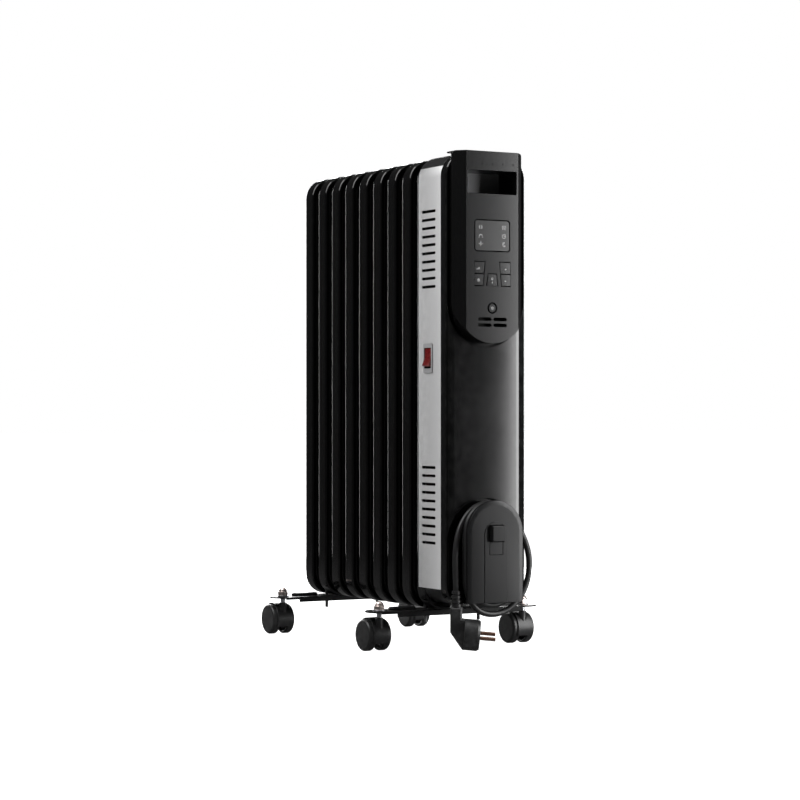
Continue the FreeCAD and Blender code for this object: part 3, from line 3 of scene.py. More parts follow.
import json
import logging
import math
from dataclasses import dataclass, field
from enum import Enum
from functools import cache
from typing import Callable, Sequence

import bpy
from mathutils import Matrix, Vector


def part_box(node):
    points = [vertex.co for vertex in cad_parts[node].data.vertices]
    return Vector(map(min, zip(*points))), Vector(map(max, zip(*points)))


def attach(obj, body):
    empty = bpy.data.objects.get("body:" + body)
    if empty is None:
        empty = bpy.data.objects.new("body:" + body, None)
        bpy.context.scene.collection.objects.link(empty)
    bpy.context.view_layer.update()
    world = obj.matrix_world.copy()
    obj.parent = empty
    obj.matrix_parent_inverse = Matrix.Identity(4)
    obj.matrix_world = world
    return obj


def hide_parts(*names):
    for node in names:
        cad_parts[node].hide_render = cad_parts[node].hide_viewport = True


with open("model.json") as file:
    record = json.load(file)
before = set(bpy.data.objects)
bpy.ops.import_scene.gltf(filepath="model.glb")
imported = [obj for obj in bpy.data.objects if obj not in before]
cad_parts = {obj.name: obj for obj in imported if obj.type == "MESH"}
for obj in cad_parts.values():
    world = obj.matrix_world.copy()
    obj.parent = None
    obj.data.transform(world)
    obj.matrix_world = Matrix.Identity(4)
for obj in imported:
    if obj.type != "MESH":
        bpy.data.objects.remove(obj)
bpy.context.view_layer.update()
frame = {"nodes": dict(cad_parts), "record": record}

LOG = logging.getLogger("heater")
MM = 0.001
RECORD = frame["record"]
BODY_OF = {node: body for body, nodes in RECORD["behaviour"]["bodies"].items() for node in nodes}
COVER_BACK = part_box("front_cover")[1].y / MM      # millimetres: the plane from which fronts are measured
COVER_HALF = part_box("front_cover")[1].x
SHOULDER = 0.013     # metres of the cover's width that turn away at each edge
SHEET_MIDDLE = sum(corner.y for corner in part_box("side_panel_left")) / 2
SHEET_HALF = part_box("side_panel_left")[1].y - SHEET_MIDDLE
DUST = (0.42, 0.41, 0.39)
WELD = 0.000002      # metres: corners closer than this are one
FLAT = 0.3           # degrees: faces that turn by less are one
SHARP = 32.0         # degrees: edges that turn by more are rounded


# ------------------------------------------------------------------ shader effects
class Grain(Enum):
    """Kinds of fine surface relief."""

    ORANGE_PEEL = "orange_peel"      # baked enamel: long soft waves
    POWDER = "powder"                # powder coat: close soft pimples
    SPARK = "spark"                  # spark-eroded moulds: sharp small cells
    POLISHED = "polished"            # polished moulds: faint flow
    DRAWN = "drawn"                  # rolled or drawn metal: fine lines along Z
    RUBBERY = "rubbery"              # soft vinyl: fine uneven skin


class EffectShop:
    """Builds each shader effect once, as a node group."""

    def group(self, name: str, inputs: dict[str, float], output: str) -> bpy.types.ShaderNodeTree:
        """Starts a group with number inputs and one number output.

        Args:
            name: The group's name.
            inputs: Name and default of each input.
            output: Name of its output.

        Returns:
            The new tree, with its two end nodes.
        """
        tree = bpy.data.node_groups.new(name, "ShaderNodeTree")
        for label, value in inputs.items():
            socket = tree.interface.new_socket(name=label, in_out="INPUT", socket_type="NodeSocketFloat")
            socket.default_value = value
        tree.interface.new_socket(name=output, in_out="OUTPUT", socket_type="NodeSocketFloat")
        tree.nodes.new("NodeGroupInput").name = "in"
        tree.nodes.new("NodeGroupOutput").name = "out"
        return tree

    @staticmethod
    def math(tree: bpy.types.NodeTree, kind: str, first: object, second: object = None,
             clamp: bool = False) -> bpy.types.NodeSocket:
        """Adds a maths node.

        Args:
            tree: The tree that gets it.
            kind: The operation.
            first: A socket or a number.
            second: A socket or a number.
            clamp: Whether the result is held between 0 and 1.

        Returns:
            The node's output.
        """
        node = tree.nodes.new("ShaderNodeMath")
        node.operation, node.use_clamp = kind, clamp
        for index, given in enumerate((first, second)):
            if isinstance(given, bpy.types.NodeSocket):
                tree.links.new(given, node.inputs[index])
            elif given is not None:
                node.inputs[index].default_value = given
        return node.outputs[0]

    def ramp(self, tree: bpy.types.NodeTree, value: bpy.types.NodeSocket, start: float,
             gain: float) -> bpy.types.NodeSocket:
        """What a value has above a start, times a gain, held between 0 and 1."""
        return self.math(tree, "MULTIPLY", self.math(tree, "SUBTRACT", value, start), gain, True)

    @staticmethod
    def along(tree: bpy.types.NodeTree, axis: str) -> bpy.types.NodeSocket:
        """A point's coordinate along one of the object's own axes."""
        split = tree.nodes.new("ShaderNodeSeparateXYZ")
        tree.links.new(tree.nodes.new("ShaderNodeTexCoord").outputs["Object"], split.inputs[0])
        return split.outputs[axis]

    @staticmethod
    def noise(tree: bpy.types.NodeTree, vector: bpy.types.NodeSocket, scale: object, detail: float,
              roughness: float) -> bpy.types.NodeSocket:
        """Adds a noise texture and returns its value socket."""
        node = tree.nodes.new("ShaderNodeTexNoise")
        node.inputs["Detail"].default_value = detail
        node.inputs["Roughness"].default_value = roughness
        tree.links.new(vector, node.inputs["Vector"])
        if isinstance(scale, bpy.types.NodeSocket):
            tree.links.new(scale, node.inputs["Scale"])
        else:
            node.inputs["Scale"].default_value = scale
        return node.outputs["Fac"]

    @cache
    def edge_wear(self) -> bpy.types.ShaderNodeTree:
        """A mask of rubbed edges, from how sharply the surface turns and an uneven noise."""
        tree = self.group("edge_wear", {"Amount": 0.5, "Unevenness": 90.0}, "Mask")
        ends = tree.nodes["in"], tree.nodes["out"]
        place = tree.nodes.new("ShaderNodeTexCoord").outputs["Object"]
        turn = tree.nodes.new("ShaderNodeNewGeometry").outputs["Pointiness"]
        ridge = self.ramp(tree, turn, start=0.505, gain=14.0)
        patch = self.noise(tree, place, ends[0].outputs["Unevenness"], detail=5.0, roughness=0.65)
        patch = self.ramp(tree, patch, start=0.42, gain=4.5)
        rubbed = self.math(tree, "MULTIPLY", ridge, patch)
        tree.links.new(self.math(tree, "MULTIPLY", rubbed, ends[0].outputs["Amount"], True),
                       ends[1].inputs["Mask"])
        return tree

    @cache
    def handling(self) -> bpy.types.ShaderNodeTree:
        """A roughness that wanders a little, as wiped and touched surfaces do."""
        tree = self.group("handling", {"Roughness": 0.3, "Spread": 0.1, "Scale": 14.0}, "Roughness")
        ends = tree.nodes["in"], tree.nodes["out"]
        place = tree.nodes.new("ShaderNodeTexCoord").outputs["Object"]
        smear = self.noise(tree, place, ends[0].outputs["Scale"], detail=6.0, roughness=0.6)
        swing = self.math(tree, "MULTIPLY", self.math(tree, "SUBTRACT", smear, 0.5), 2.0)
        swing = self.math(tree, "MULTIPLY", swing, ends[0].outputs["Spread"])
        tree.links.new(self.math(tree, "ADD", ends[0].outputs["Roughness"], swing, True),
                       ends[1].inputs["Roughness"])
        return tree

    # the share along which the side sheets' painted shade darkens their colour
    @cache
    def depth(self) -> bpy.types.ShaderNodeTree:
        """How far back a point of a side sheet lies, 0 at the front and 1 at the fins."""
        tree = self.group("depth", {"Middle": 0.0, "Half": 0.03}, "Share")
        ends = tree.nodes["in"], tree.nodes["out"]
        off = self.math(tree, "SUBTRACT", self.along(tree, "Y"), ends[0].outputs["Middle"])
        off = self.math(tree, "DIVIDE", off, ends[0].outputs["Half"])
        half = self.math(tree, "MULTIPLY", off, 0.5)
        tree.links.new(self.math(tree, "ADD", half, 0.5, True), ends[1].inputs["Share"])
        return tree

    @cache
    def bulge(self) -> bpy.types.ShaderNodeTree:
        """The relief of a sheet that swells evenly over its depth, 1 in the middle."""
        tree = self.group("bulge", {"Middle": 0.0, "Half": 0.03}, "Height")
        ends = tree.nodes["in"], tree.nodes["out"]
        off = self.math(tree, "SUBTRACT", self.along(tree, "Y"), ends[0].outputs["Middle"])
        off = self.math(tree, "DIVIDE", off, ends[0].outputs["Half"])
        square = self.math(tree, "MULTIPLY", off, off)
        tree.links.new(self.math(tree, "SUBTRACT", 1.0, square), ends[1].inputs["Height"])
        return tree

    @cache
    def shoulder(self) -> bpy.types.ShaderNodeTree:
        """The relief of a cover that falls away, ever faster, towards both upright edges."""
        tree = self.group("shoulder", {"Start": 0.05, "Reach": 0.01}, "Height")
        ends = tree.nodes["in"], tree.nodes["out"]
        off = self.math(tree, "ABSOLUTE", self.along(tree, "X"), 0.0)
        off = self.math(tree, "SUBTRACT", off, ends[0].outputs["Start"])
        off = self.math(tree, "DIVIDE", off, ends[0].outputs["Reach"], True)
        square = self.math(tree, "MULTIPLY", off, off)
        tree.links.new(self.math(tree, "SUBTRACT", 1.0, square), ends[1].inputs["Height"])
        return tree

    @cache
    def settled_dust(self) -> bpy.types.ShaderNodeTree:
        """A faint mask on faces that look up."""
        tree = self.group("settled_dust", {"Amount": 0.1}, "Mask")
        ends = tree.nodes["in"], tree.nodes["out"]
        place = tree.nodes.new("ShaderNodeTexCoord").outputs["Object"]
        normal = tree.nodes.new("ShaderNodeNewGeometry").outputs["Normal"]
        split = tree.nodes.new("ShaderNodeSeparateXYZ")
        tree.links.new(normal, split.inputs[0])
        upward = self.ramp(tree, split.outputs["Z"], start=0.55, gain=2.0)
        speck = self.noise(tree, place, scale=260.0, detail=4.0, roughness=0.7)
        speck = self.ramp(tree, speck, start=0.35, gain=2.0)
        mask = self.math(tree, "MULTIPLY", upward, speck)
        tree.links.new(self.math(tree, "MULTIPLY", mask, ends[0].outputs["Amount"], True),
                       ends[1].inputs["Mask"])
        return tree

    @cache
    def grain(self, kind: Grain) -> bpy.types.ShaderNodeTree:
        """The height of a fine relief.

        Args:
            kind: Which relief.

        Returns:
            A group with the input Size, in cells per metre, and the output Height.
        """
        tree = self.group(kind.value, {"Size": 1000.0}, "Height")
        ends = tree.nodes["in"], tree.nodes["out"]
        size = ends[0].outputs["Size"]
        place = tree.nodes.new("ShaderNodeTexCoord").outputs["Object"]
        if kind is Grain.DRAWN:
            stretch = tree.nodes.new("ShaderNodeMapping")
            stretch.inputs["Scale"].default_value = (1.0, 1.0, 0.02)
            tree.links.new(place, stretch.inputs["Vector"])
            height = self.noise(tree, stretch.outputs["Vector"], size, detail=3.0, roughness=0.7)
        elif kind is Grain.SPARK:
            cells = tree.nodes.new("ShaderNodeTexVoronoi")
            cells.feature = "SMOOTH_F1"
            tree.links.new(place, cells.inputs["Vector"])
            tree.links.new(size, cells.inputs["Scale"])
            finer = self.math(tree, "MULTIPLY", size, 1.7)
            fine = self.noise(tree, place, finer, detail=3.0, roughness=0.7)
            coarse = self.math(tree, "MULTIPLY", cells.outputs["Distance"], 0.6)
            height = self.math(tree, "ADD", coarse, fine)
        else:
            detail, roughness = {
                Grain.ORANGE_PEEL: (1.0, 0.35), Grain.POWDER: (2.0, 0.5),
                Grain.POLISHED: (1.0, 0.3), Grain.RUBBERY: (4.0, 0.65),
            }[kind]
            height = self.noise(tree, place, size, detail, roughness)
        tree.links.new(height, ends[1].inputs["Height"])
        return tree


EFFECTS = EffectShop()


# ------------------------------------------------------------------ finishes
@dataclass(frozen=True)
class Finish:
    """One real finish: its colour, gloss, relief and wear.

    Lengths are in metres: grain_size is the width of one cell of the relief, and grain_depth its
    height. rubbed is the colour that shows where edges wear. flop is painted shade: how much darker
    the base colour of a side sheet is painted towards the fins, standing in for the dimmer reflection
    there. crown and fall work in the relief only and move no vertex: light meets a side sheet as if it
    bulged by crown over its depth, and the cover as if it dropped by fall at its upright edges.
    """

    name: str
    colour: tuple[float, float, float]
    roughness: float
    grain: Grain
    grain_size: float
    grain_depth: float
    metallic: float = 0.0
    spread: float = 0.05
    specular: float = 0.5
    coat: float = 0.0
    coat_roughness: float = 0.05
    rubbed: tuple[float, float, float] = (0.12, 0.12, 0.12)
    wear: float = 0.25
    dust: float = 0.03
    mottle: float = 0.12
    crown: float = 0.0
    rear_painted_shade: float = 0.0
    fall: float = 0.0

    def material(self) -> bpy.types.Material:
        """Builds the material, or returns the one that was built before."""
        found = bpy.data.materials.get(self.name)
        if found is not None and found.get("heater_finish"):
            return found
        made = bpy.data.materials.new(self.name)
        made["heater_finish"] = True
        made.use_nodes = True
        tree = made.node_tree
        shader = tree.nodes["Principled BSDF"]
        shader.inputs["Metallic"].default_value = self.metallic
        shader.inputs["Specular IOR Level"].default_value = self.specular
        shader.inputs["Coat Weight"].default_value = self.coat
        shader.inputs["Coat Roughness"].default_value = self.coat_roughness
        self.colour_nodes(tree, shader)
        touch = self.effect(tree, EFFECTS.handling(), Roughness=self.roughness, Spread=self.spread)
        tree.links.new(touch.outputs["Roughness"], shader.inputs["Roughness"])
        relief = self.effect(tree, EFFECTS.grain(self.grain), Size=1.0 / self.grain_size)
        bump = self.bumped(tree, relief, self.grain_depth)
        if self.crown > 0:
            bulge = self.effect(tree, EFFECTS.bulge(), Middle=SHEET_MIDDLE, Half=SHEET_HALF)
            swell = self.bumped(tree, bulge, self.crown)
            tree.links.new(swell.outputs["Normal"], bump.inputs["Normal"])
        if self.fall > 0:
            drop = self.effect(tree, EFFECTS.shoulder(), Start=COVER_HALF - SHOULDER, Reach=SHOULDER)
            turn = self.bumped(tree, drop, self.fall)
            tree.links.new(turn.outputs["Normal"], bump.inputs["Normal"])
        tree.links.new(bump.outputs["Normal"], shader.inputs["Normal"])
        return made

    def colour_nodes(self, tree: bpy.types.NodeTree, shader: bpy.types.Node) -> None:
        """Mixes the base colour with a faint mottle, painted shade towards the fins (flop), rubbed edges
        and dust.

        Args:
            tree: The material's nodes.
            shader: Its Principled BSDF.
        """
        place = tree.nodes.new("ShaderNodeTexCoord").outputs["Object"]
        patch = EFFECTS.noise(tree, place, scale=22.0, detail=5.0, roughness=0.6)
        darker = tuple(part * (1.0 - self.mottle) for part in self.colour)
        lighter = tuple(min(1.0, part * (1.0 + self.mottle)) for part in self.colour)
        colour = self.mixed(tree, patch, darker, lighter)
        # painted shade: a side sheet's base colour darkens towards the fins, standing in for its dimmer
        # reflection there
        if self.rear_painted_shade > 0:
            depth = self.effect(tree, EFFECTS.depth(), Middle=SHEET_MIDDLE, Half=SHEET_HALF)
            far = tuple(part * (1.0 - self.rear_painted_shade) for part in self.colour)
            colour = self.mixed(tree, depth.outputs["Share"], colour, far)
        wear = self.effect(tree, EFFECTS.edge_wear(), Amount=self.wear)
        colour = self.mixed(tree, wear.outputs["Mask"], colour, self.rubbed)
        dust = self.effect(tree, EFFECTS.settled_dust(), Amount=self.dust)
        colour = self.mixed(tree, dust.outputs["Mask"], colour, DUST)
        tree.links.new(colour, shader.inputs["Base Color"])

    @staticmethod
    def bumped(tree: bpy.types.NodeTree, relief: bpy.types.Node, height: float) -> bpy.types.Node:
        """Adds a bump node that raises an effect's Height by so many metres."""
        bump = tree.nodes.new("ShaderNodeBump")
        bump.inputs["Strength"].default_value = 1.0
        bump.inputs["Distance"].default_value = height
        tree.links.new(relief.outputs["Height"], bump.inputs["Height"])
        return bump

    @staticmethod
    def effect(tree: bpy.types.NodeTree, group: bpy.types.ShaderNodeTree,
               **values: float) -> bpy.types.Node:
        """Places an effect in a material with its own values."""
        node = tree.nodes.new("ShaderNodeGroup")
        node.node_tree = group
        for label, value in values.items():
            node.inputs[label].default_value = value
        return node

    @staticmethod
    def mixed(tree: bpy.types.NodeTree, factor: bpy.types.NodeSocket, first: object,
              second: object) -> bpy.types.NodeSocket:
        """Mixes two colours, each a socket or three numbers, and returns the result's socket."""
        node = tree.nodes.new("ShaderNodeMix")
        node.data_type = "RGBA"
        tree.links.new(factor, node.inputs["Factor"])
        for socket, given in ((node.inputs["A"], first), (node.inputs["B"], second)):
            if isinstance(given, bpy.types.NodeSocket):
                tree.links.new(given, socket)
            else:
                socket.default_value = (*given, 1.0)
        return node.outputs["Result"]


ENAMEL = Finish("black_baked_enamel", (0.002, 0.002, 0.0021), 0.08, Grain.ORANGE_PEEL, 0.0035, 0.000006,
                wear=0.05, specular=0.42)
# silver side sheets, whose colour is painted darker towards the fins as painted shade (flop)
SILVER = Finish("silver_powder_coat", (0.84, 0.84, 0.845), 0.42, Grain.POWDER, 0.0005, 0.00001,
                metallic=0.4, rubbed=(0.7, 0.7, 0.7), wear=0.25, mottle=0.04, spread=0.04, crown=0.0016,
                rear_painted_shade=0.62)
HOUSING_BLACK = Finish("black_powder_coat", (0.009, 0.009, 0.0095), 0.3, Grain.POWDER, 0.0009, 0.00001,
                       wear=0.12)
COVER_PLASTIC = Finish("fine_grained_moulding", (0.0025, 0.0025, 0.0027), 0.11, Grain.SPARK, 0.0004,
                       0.0000008, wear=0.1, spread=0.02, fall=0.0042)
# painted light: the grip recess's back wall is the panel's own dark plastic, coloured light grey to stand
# in for light falling into the recess
RECESS_PAINTED_LIGHT = Finish("recess_painted_light", (0.22, 0.22, 0.225), 0.6, Grain.SPARK, 0.0004, 0.000004,
                wear=0.0, specular=0.2)
STORAGE_PLASTIC = Finish("matt_moulding", (0.008, 0.008, 0.0084), 0.26, Grain.SPARK, 0.0004, 0.000002,
                         wear=0.0, spread=0.0, specular=0.22)
PANEL_PLASTIC = Finish("satin_moulding", (0.005, 0.005, 0.0053), 0.2, Grain.SPARK, 0.0003, 0.0000012,
                       wear=0.0, spread=0.0, specular=0.36)
KEY_PLASTIC = Finish("key_moulding", (0.006, 0.006, 0.0063), 0.2, Grain.SPARK, 0.0003, 0.0000012,
                     wear=0.1, spread=0.03, specular=0.42)
WINDOW = Finish("smoked_window", (0.005, 0.005, 0.0052), 0.24, Grain.POLISHED, 0.006, 0.000002,
                wear=0.05, specular=0.45, dust=0.0)
# painted shade: near-black strokes laid over the gaps round the window and the keys, where light doesn't
# reach
GAP_SHADE = Finish("painted_gap_shade", (0.0015, 0.0015, 0.0015), 0.8, Grain.POWDER, 0.0005, 0.000002,
                wear=0.0, mottle=0.0, dust=0.0, specular=0.0)
BEZEL = Finish("grey_bezel", (0.3, 0.3, 0.305), 0.35, Grain.POLISHED, 0.004, 0.000004, wear=0.2)
PRINT = Finish("white_print", (0.72, 0.72, 0.72), 0.5, Grain.POWDER, 0.0002, 0.000003,
               wear=0.0, mottle=0.04, dust=0.0)
SWITCH_PLASTIC = Finish("switch_moulding", (0.02, 0.02, 0.021), 0.22, Grain.POLISHED, 0.004, 0.000004)
ROCKER_RED = Finish("red_rocker", (0.11, 0.001, 0.0022), 0.14, Grain.POLISHED, 0.006, 0.000004,
                    rubbed=(0.8, 0.25, 0.2), wear=0.2, coat=0.5, coat_roughness=0.1, mottle=0.1, dust=0.0)
PLATE_BLACK = Finish("plate_enamel", (0.005, 0.005, 0.0053), 0.4, Grain.ORANGE_PEEL, 0.0035, 0.000006,
                     wear=0.05, specular=0.12)
BOLT_END = Finish("bare_thread", (0.3, 0.3, 0.31), 0.5, Grain.POWDER, 0.0012, 0.00002, metallic=0.3,
                  wear=0.0)
DARK_ZINC = Finish("black_zinc", (0.05, 0.05, 0.052), 0.35, Grain.POWDER, 0.0012, 0.00002, metallic=0.8,
                   rubbed=(0.5, 0.5, 0.5), wear=0.5, mottle=0.16, spread=0.1)
ZINC = Finish("bright_zinc", (0.56, 0.57, 0.6), 0.3, Grain.POWDER, 0.0012, 0.00002, metallic=1.0,
              rubbed=(0.8, 0.8, 0.8), wear=0.5, mottle=0.16, spread=0.1)
NICKEL = Finish("dull_nickel", (0.68, 0.58, 0.54), 0.32, Grain.POLISHED, 0.003, 0.000008, metallic=1.0,
                rubbed=(0.75, 0.7, 0.64), wear=0.5, mottle=0.15, spread=0.08)
ELEMENT = Finish("drawn_steel", (0.3, 0.3, 0.31), 0.35, Grain.DRAWN, 0.0006, 0.00002, metallic=1.0,
                 rubbed=(0.5, 0.5, 0.5), mottle=0.2)
COPPER = Finish("pin_metal", (0.46, 0.27, 0.2), 0.3, Grain.POLISHED, 0.003, 0.000006, metallic=1.0,
                rubbed=(0.7, 0.45, 0.35), wear=0.5, mottle=0.15)
LAMINATE = Finish("board_laminate", (0.012, 0.09, 0.035), 0.35, Grain.POWDER, 0.0008, 0.00001,
                  rubbed=(0.3, 0.3, 0.25))
INSULATION = Finish("red_insulation", (0.42, 0.03, 0.03), 0.3, Grain.RUBBERY, 0.002, 0.00001,
                    rubbed=(0.6, 0.2, 0.15))
CORD_VINYL = Finish("cord_vinyl", (0.013, 0.013, 0.0135), 0.42, Grain.RUBBERY, 0.0012, 0.00003,
                    wear=0.1, spread=0.08)
PLUG_VINYL = Finish("plug_vinyl", (0.013, 0.013, 0.0135), 0.36, Grain.SPARK, 0.0006, 0.00001,
                    wear=0.2, spread=0.06)
CASTOR_PLASTIC = Finish("castor_moulding", (0.014, 0.014, 0.0145), 0.42, Grain.SPARK, 0.0005, 0.00001,
                        wear=0.35, spread=0.06, dust=0.08)


# ------------------------------------------------------------------ bench tools
class Edge:
    """Widths of rounded edges, in metres."""

    NONE = 0.0
    STAMPED = 0.0002
    PAINTED = 0.00025
    SHEET = 0.0003
    MOULDED = 0.0004
    BOLD = 0.0005
    SOFT = 0.0006
    TREAD = 0.0008


def clear_selection() -> None:
    """Leaves edit mode and deselects everything."""
    if bpy.context.object is not None and bpy.context.object.mode != "OBJECT":
        bpy.ops.object.mode_set(mode="OBJECT")
    bpy.ops.object.select_all(action="DESELECT")


def take(piece: bpy.types.Object) -> None:
    """Makes a piece the only selected one, and the active one."""
    clear_selection()
    piece.select_set(True)
    bpy.context.view_layer.objects.active = piece


def copied_node(node: str, name: str) -> bpy.types.Object:
    """Copies a node's mesh into a new piece and joins its loose triangles.

    Args:
        node: The node.
        name: The new piece's name.

    Returns:
        The piece, one closed mesh without a material.
    """
    piece = bpy.data.objects.new(name, frame["nodes"][node].data.copy())
    bpy.context.scene.collection.objects.link(piece)
    piece.data.materials.clear()
    take(piece)
    bpy.ops.object.mode_set(mode="EDIT")
    bpy.ops.mesh.select_all(action="SELECT")
    bpy.ops.mesh.customdata_custom_splitnormals_clear()
    bpy.ops.mesh.remove_doubles(threshold=WELD)
    bpy.ops.object.mode_set(mode="OBJECT")
    return piece


def apply_modifiers(piece: bpy.types.Object) -> None:
    """Applies every modifier of a piece, in order."""
    take(piece)
    for modifier in list(piece.modifiers):
        bpy.ops.object.modifier_apply(modifier=modifier.name)


def round_edges(piece: bpy.types.Object, width: float, segments: int, held: bool) -> None:
    """Rounds the sharp edges of a piece.

    Args:
        piece: The piece.
        width: The rounding's width, in metres.
        segments: Faces across each rounding.
        held: Whether the width gives way where edges lie close together.
    """
    bevel = piece.modifiers.new("edges", "BEVEL")
    bevel.width, bevel.segments = width, segments
    bevel.limit_method, bevel.angle_limit = "ANGLE", math.radians(SHARP)
    bevel.use_clamp_overlap, bevel.loop_slide = held, False
    apply_modifiers(piece)


def smooth(piece: bpy.types.Object, angle: float) -> None:
    """Joins flat faces, and shades a piece smooth but for edges sharper than an angle in degrees."""
    take(piece)
    bpy.ops.object.mode_set(mode="EDIT")
    bpy.ops.mesh.select_all(action="SELECT")
    bpy.ops.mesh.dissolve_limited(angle_limit=math.radians(FLAT))
    bpy.ops.object.mode_set(mode="OBJECT")
    bpy.ops.object.shade_smooth_by_angle(angle=math.radians(angle))
    weighted = piece.modifiers.new("light", "WEIGHTED_NORMAL")
    weighted.keep_sharp = True
    apply_modifiers(piece)


def dress(piece: bpy.types.Object, finish: Finish) -> None:
    """Gives a piece one finish all over."""
    piece.data.materials.clear()
    piece.data.materials.append(finish.material())


def select_faces(piece: bpy.types.Object, chosen: Callable[[Vector, Vector], bool]) -> None:
    """Selects the faces that a test of centre and normal picks, and opens the mesh for editing."""
    take(piece)
    bpy.ops.object.mode_set(mode="EDIT")
    bpy.ops.mesh.select_all(action="DESELECT")
    bpy.ops.object.mode_set(mode="OBJECT")
    for face in piece.data.polygons:
        face.select = chosen(face.center, face.normal)
    bpy.ops.object.mode_set(mode="EDIT")
    bpy.ops.mesh.select_mode(type="FACE")


def refinished(piece: bpy.types.Object, finish: Finish, chosen: Callable[[Vector, Vector], bool]) -> None:
    """Gives some faces of a dressed piece a second finish.

    Args:
        piece: The piece.
        finish: The finish of the chosen faces.
        chosen: A test of a face's centre and normal.
    """
    piece.data.materials.append(finish.material())
    select_faces(piece, chosen)
    piece.active_material_index = 1
    bpy.ops.object.material_slot_assign()
    bpy.ops.object.mode_set(mode="OBJECT")


def carried(node: str, finish: Finish, width: float, segments: int = 2, held: bool = False,
            soft: float = 46.0) -> bpy.types.Object:
    """Replaces a node by a copy with rounded edges and its finish.

    Args:
        node: The node that the piece stands for.
        finish: Its finish.
        width: The rounding's width, in metres.
        segments: Faces across each rounding.
        held: Whether the width gives way where edges lie close together.
        soft: Edges that turn by less than this many degrees are shaded smooth.

    Returns:
        The piece, riding on the node's body.
    """
    piece = copied_node(node, f"{node}_shaped")
    if width > 0:
        round_edges(piece, width, segments, held)
    smooth(piece, soft)
    dress(piece, finish)
    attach(piece, BODY_OF[node])
    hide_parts(node)
    LOG.info("%s: %d faces", piece.name, len(piece.data.polygons))
    return piece


def place(x: float, y: float, z: float) -> Vector:
    """A point from millimetres, with y from the front cover's back plane."""
    return Vector((x, y + COVER_BACK, z)) * MM


# ------------------------------------------------------------------ fin stack
@dataclass
class FinStack:
    """The pressed fins, the collars between them, and what closes the front fin's headers."""

    count: int = 9
    pressed: float = 52.0            # degrees: turns of the pressed sheet that look soft

    def build(self) -> None:
        """Makes the fins and their fittings."""
        for index in range(1, self.count + 1):
            carried(f"fin_{index}", ENAMEL, Edge.NONE, soft=self.pressed)
        carried("header_collars", ENAMEL, Edge.NONE)
        carried("oil_filler_plug", ZINC, Edge.MOULDED)
        carried("heating_element", ELEMENT, Edge.SHEET)


# ------------------------------------------------------------------ housing
@dataclass
class Housing:
    """The sheet metal box behind the front cover, and what is in it."""

    def build(self) -> None:
        """Makes the sheets, boards, switch box parts and wires."""
        for node in ("side_panel_left", "side_panel_right"):
            carried(node, SILVER, Edge.PAINTED)
        for node in ("housing_top_cap", "housing_bottom_pan", "housing_back_plate"):
            carried(node, HOUSING_BLACK, Edge.SHEET)
        carried("power_board", LAMINATE, Edge.SHEET)
        carried("tip_over_switch", SWITCH_PLASTIC, Edge.BOLD)
        carried("thermal_cutout", ZINC, Edge.STAMPED)
        carried("wire_harness", INSULATION, Edge.NONE)


@dataclass
class FrontCover:
    """The front moulding with its two recesses."""

    def build(self) -> None:
        """Makes the moulding."""
        carried("front_cover", COVER_PLASTIC, Edge.BOLD)


# ------------------------------------------------------------------ control panel
class Mark(Enum):
    """Plain pictograms, each a list of strokes in millimetres about its centre."""

    SUN = (((-0.9, 0.0), (0.0, 0.9), (0.9, 0.0), (0.0, -0.9), (-0.9, 0.0)),
           ((-1.9, 0.0), (-1.4, 0.0)), ((1.4, 0.0), (1.9, 0.0)), ((0.0, 1.4), (0.0, 1.9)),
           ((0.0, -1.9), (0.0, -1.4)))
    HALF_SUN = (((-1.2, -0.6), (-1.0, 0.3), (0.0, 0.9), (1.0, 0.3), (1.2, -0.6)),
                ((-1.8, -1.2), (-1.2, -1.2)), ((1.2, -1.2), (1.8, -1.2)))
    WAVES = (((-1.3, -1.5), (-0.9, -0.4), (-1.5, 0.5), (-1.1, 1.6)),
             ((0.0, -1.5), (0.4, -0.4), (-0.2, 0.5), (0.2, 1.6)),
             ((1.3, -1.5), (1.7, -0.4), (1.1, 0.5), (1.5, 1.6)))
    CLOCK = (((1.5, 0.0), (1.06, 1.06), (0.0, 1.5), (-1.06, 1.06), (-1.5, 0.0), (-1.06, -1.06),
              (0.0, -1.5), (1.06, -1.06), (1.5, 0.0)), ((0.0, 0.8), (0.0, 0.0), (0.7, 0.0)))
    MOON = (((0.5, 1.5), (-0.7, 1.2), (-1.3, 0.1), (-0.9, -1.1), (0.2, -1.6), (1.3, -1.0),
             (0.2, -0.8), (-0.4, 0.2), (0.5, 1.5)),)
    BARS = (((-0.8, 1.5), (-0.8, -1.5)), ((0.8, 1.5), (0.8, -1.5)), ((-1.7, 0.0), (-0.8, 0.0)),
            ((0.8, 0.0), (1.7, 0.0)))
    UP = (((-1.0, -0.5), (0.0, 0.7), (1.0, -0.5), (-1.0, -0.5)),)
    DOWN = (((-0.9, 0.4), (0.0, -0.6), (0.9, 0.4)),)
    STAND_BY = (((0.75, 1.1), (1.35, 0.3), (1.1, -0.9), (0.0, -1.45), (-1.1, -0.9), (-1.35, 0.3),
                 (-0.75, 1.1)), ((0.0, 1.6), (0.0, 0.2)))
    STEPS = (((-1.5, -1.1), (-1.5, -0.3)), ((-0.5, -1.1), (-0.5, 0.2)), ((0.5, -1.1), (0.5, 0.8)),
             ((1.5, -1.1), (1.5, 1.3)))
    BAR = (((0.0, 0.8), (0.0, -0.8)),)
    RING = (((0.9, 0.0), (0.64, 0.64), (0.0, 0.9), (-0.64, 0.64), (-0.9, 0.0), (-0.64, -0.64),
             (0.0, -0.9), (0.64, -0.64), (0.9, 0.0)),)


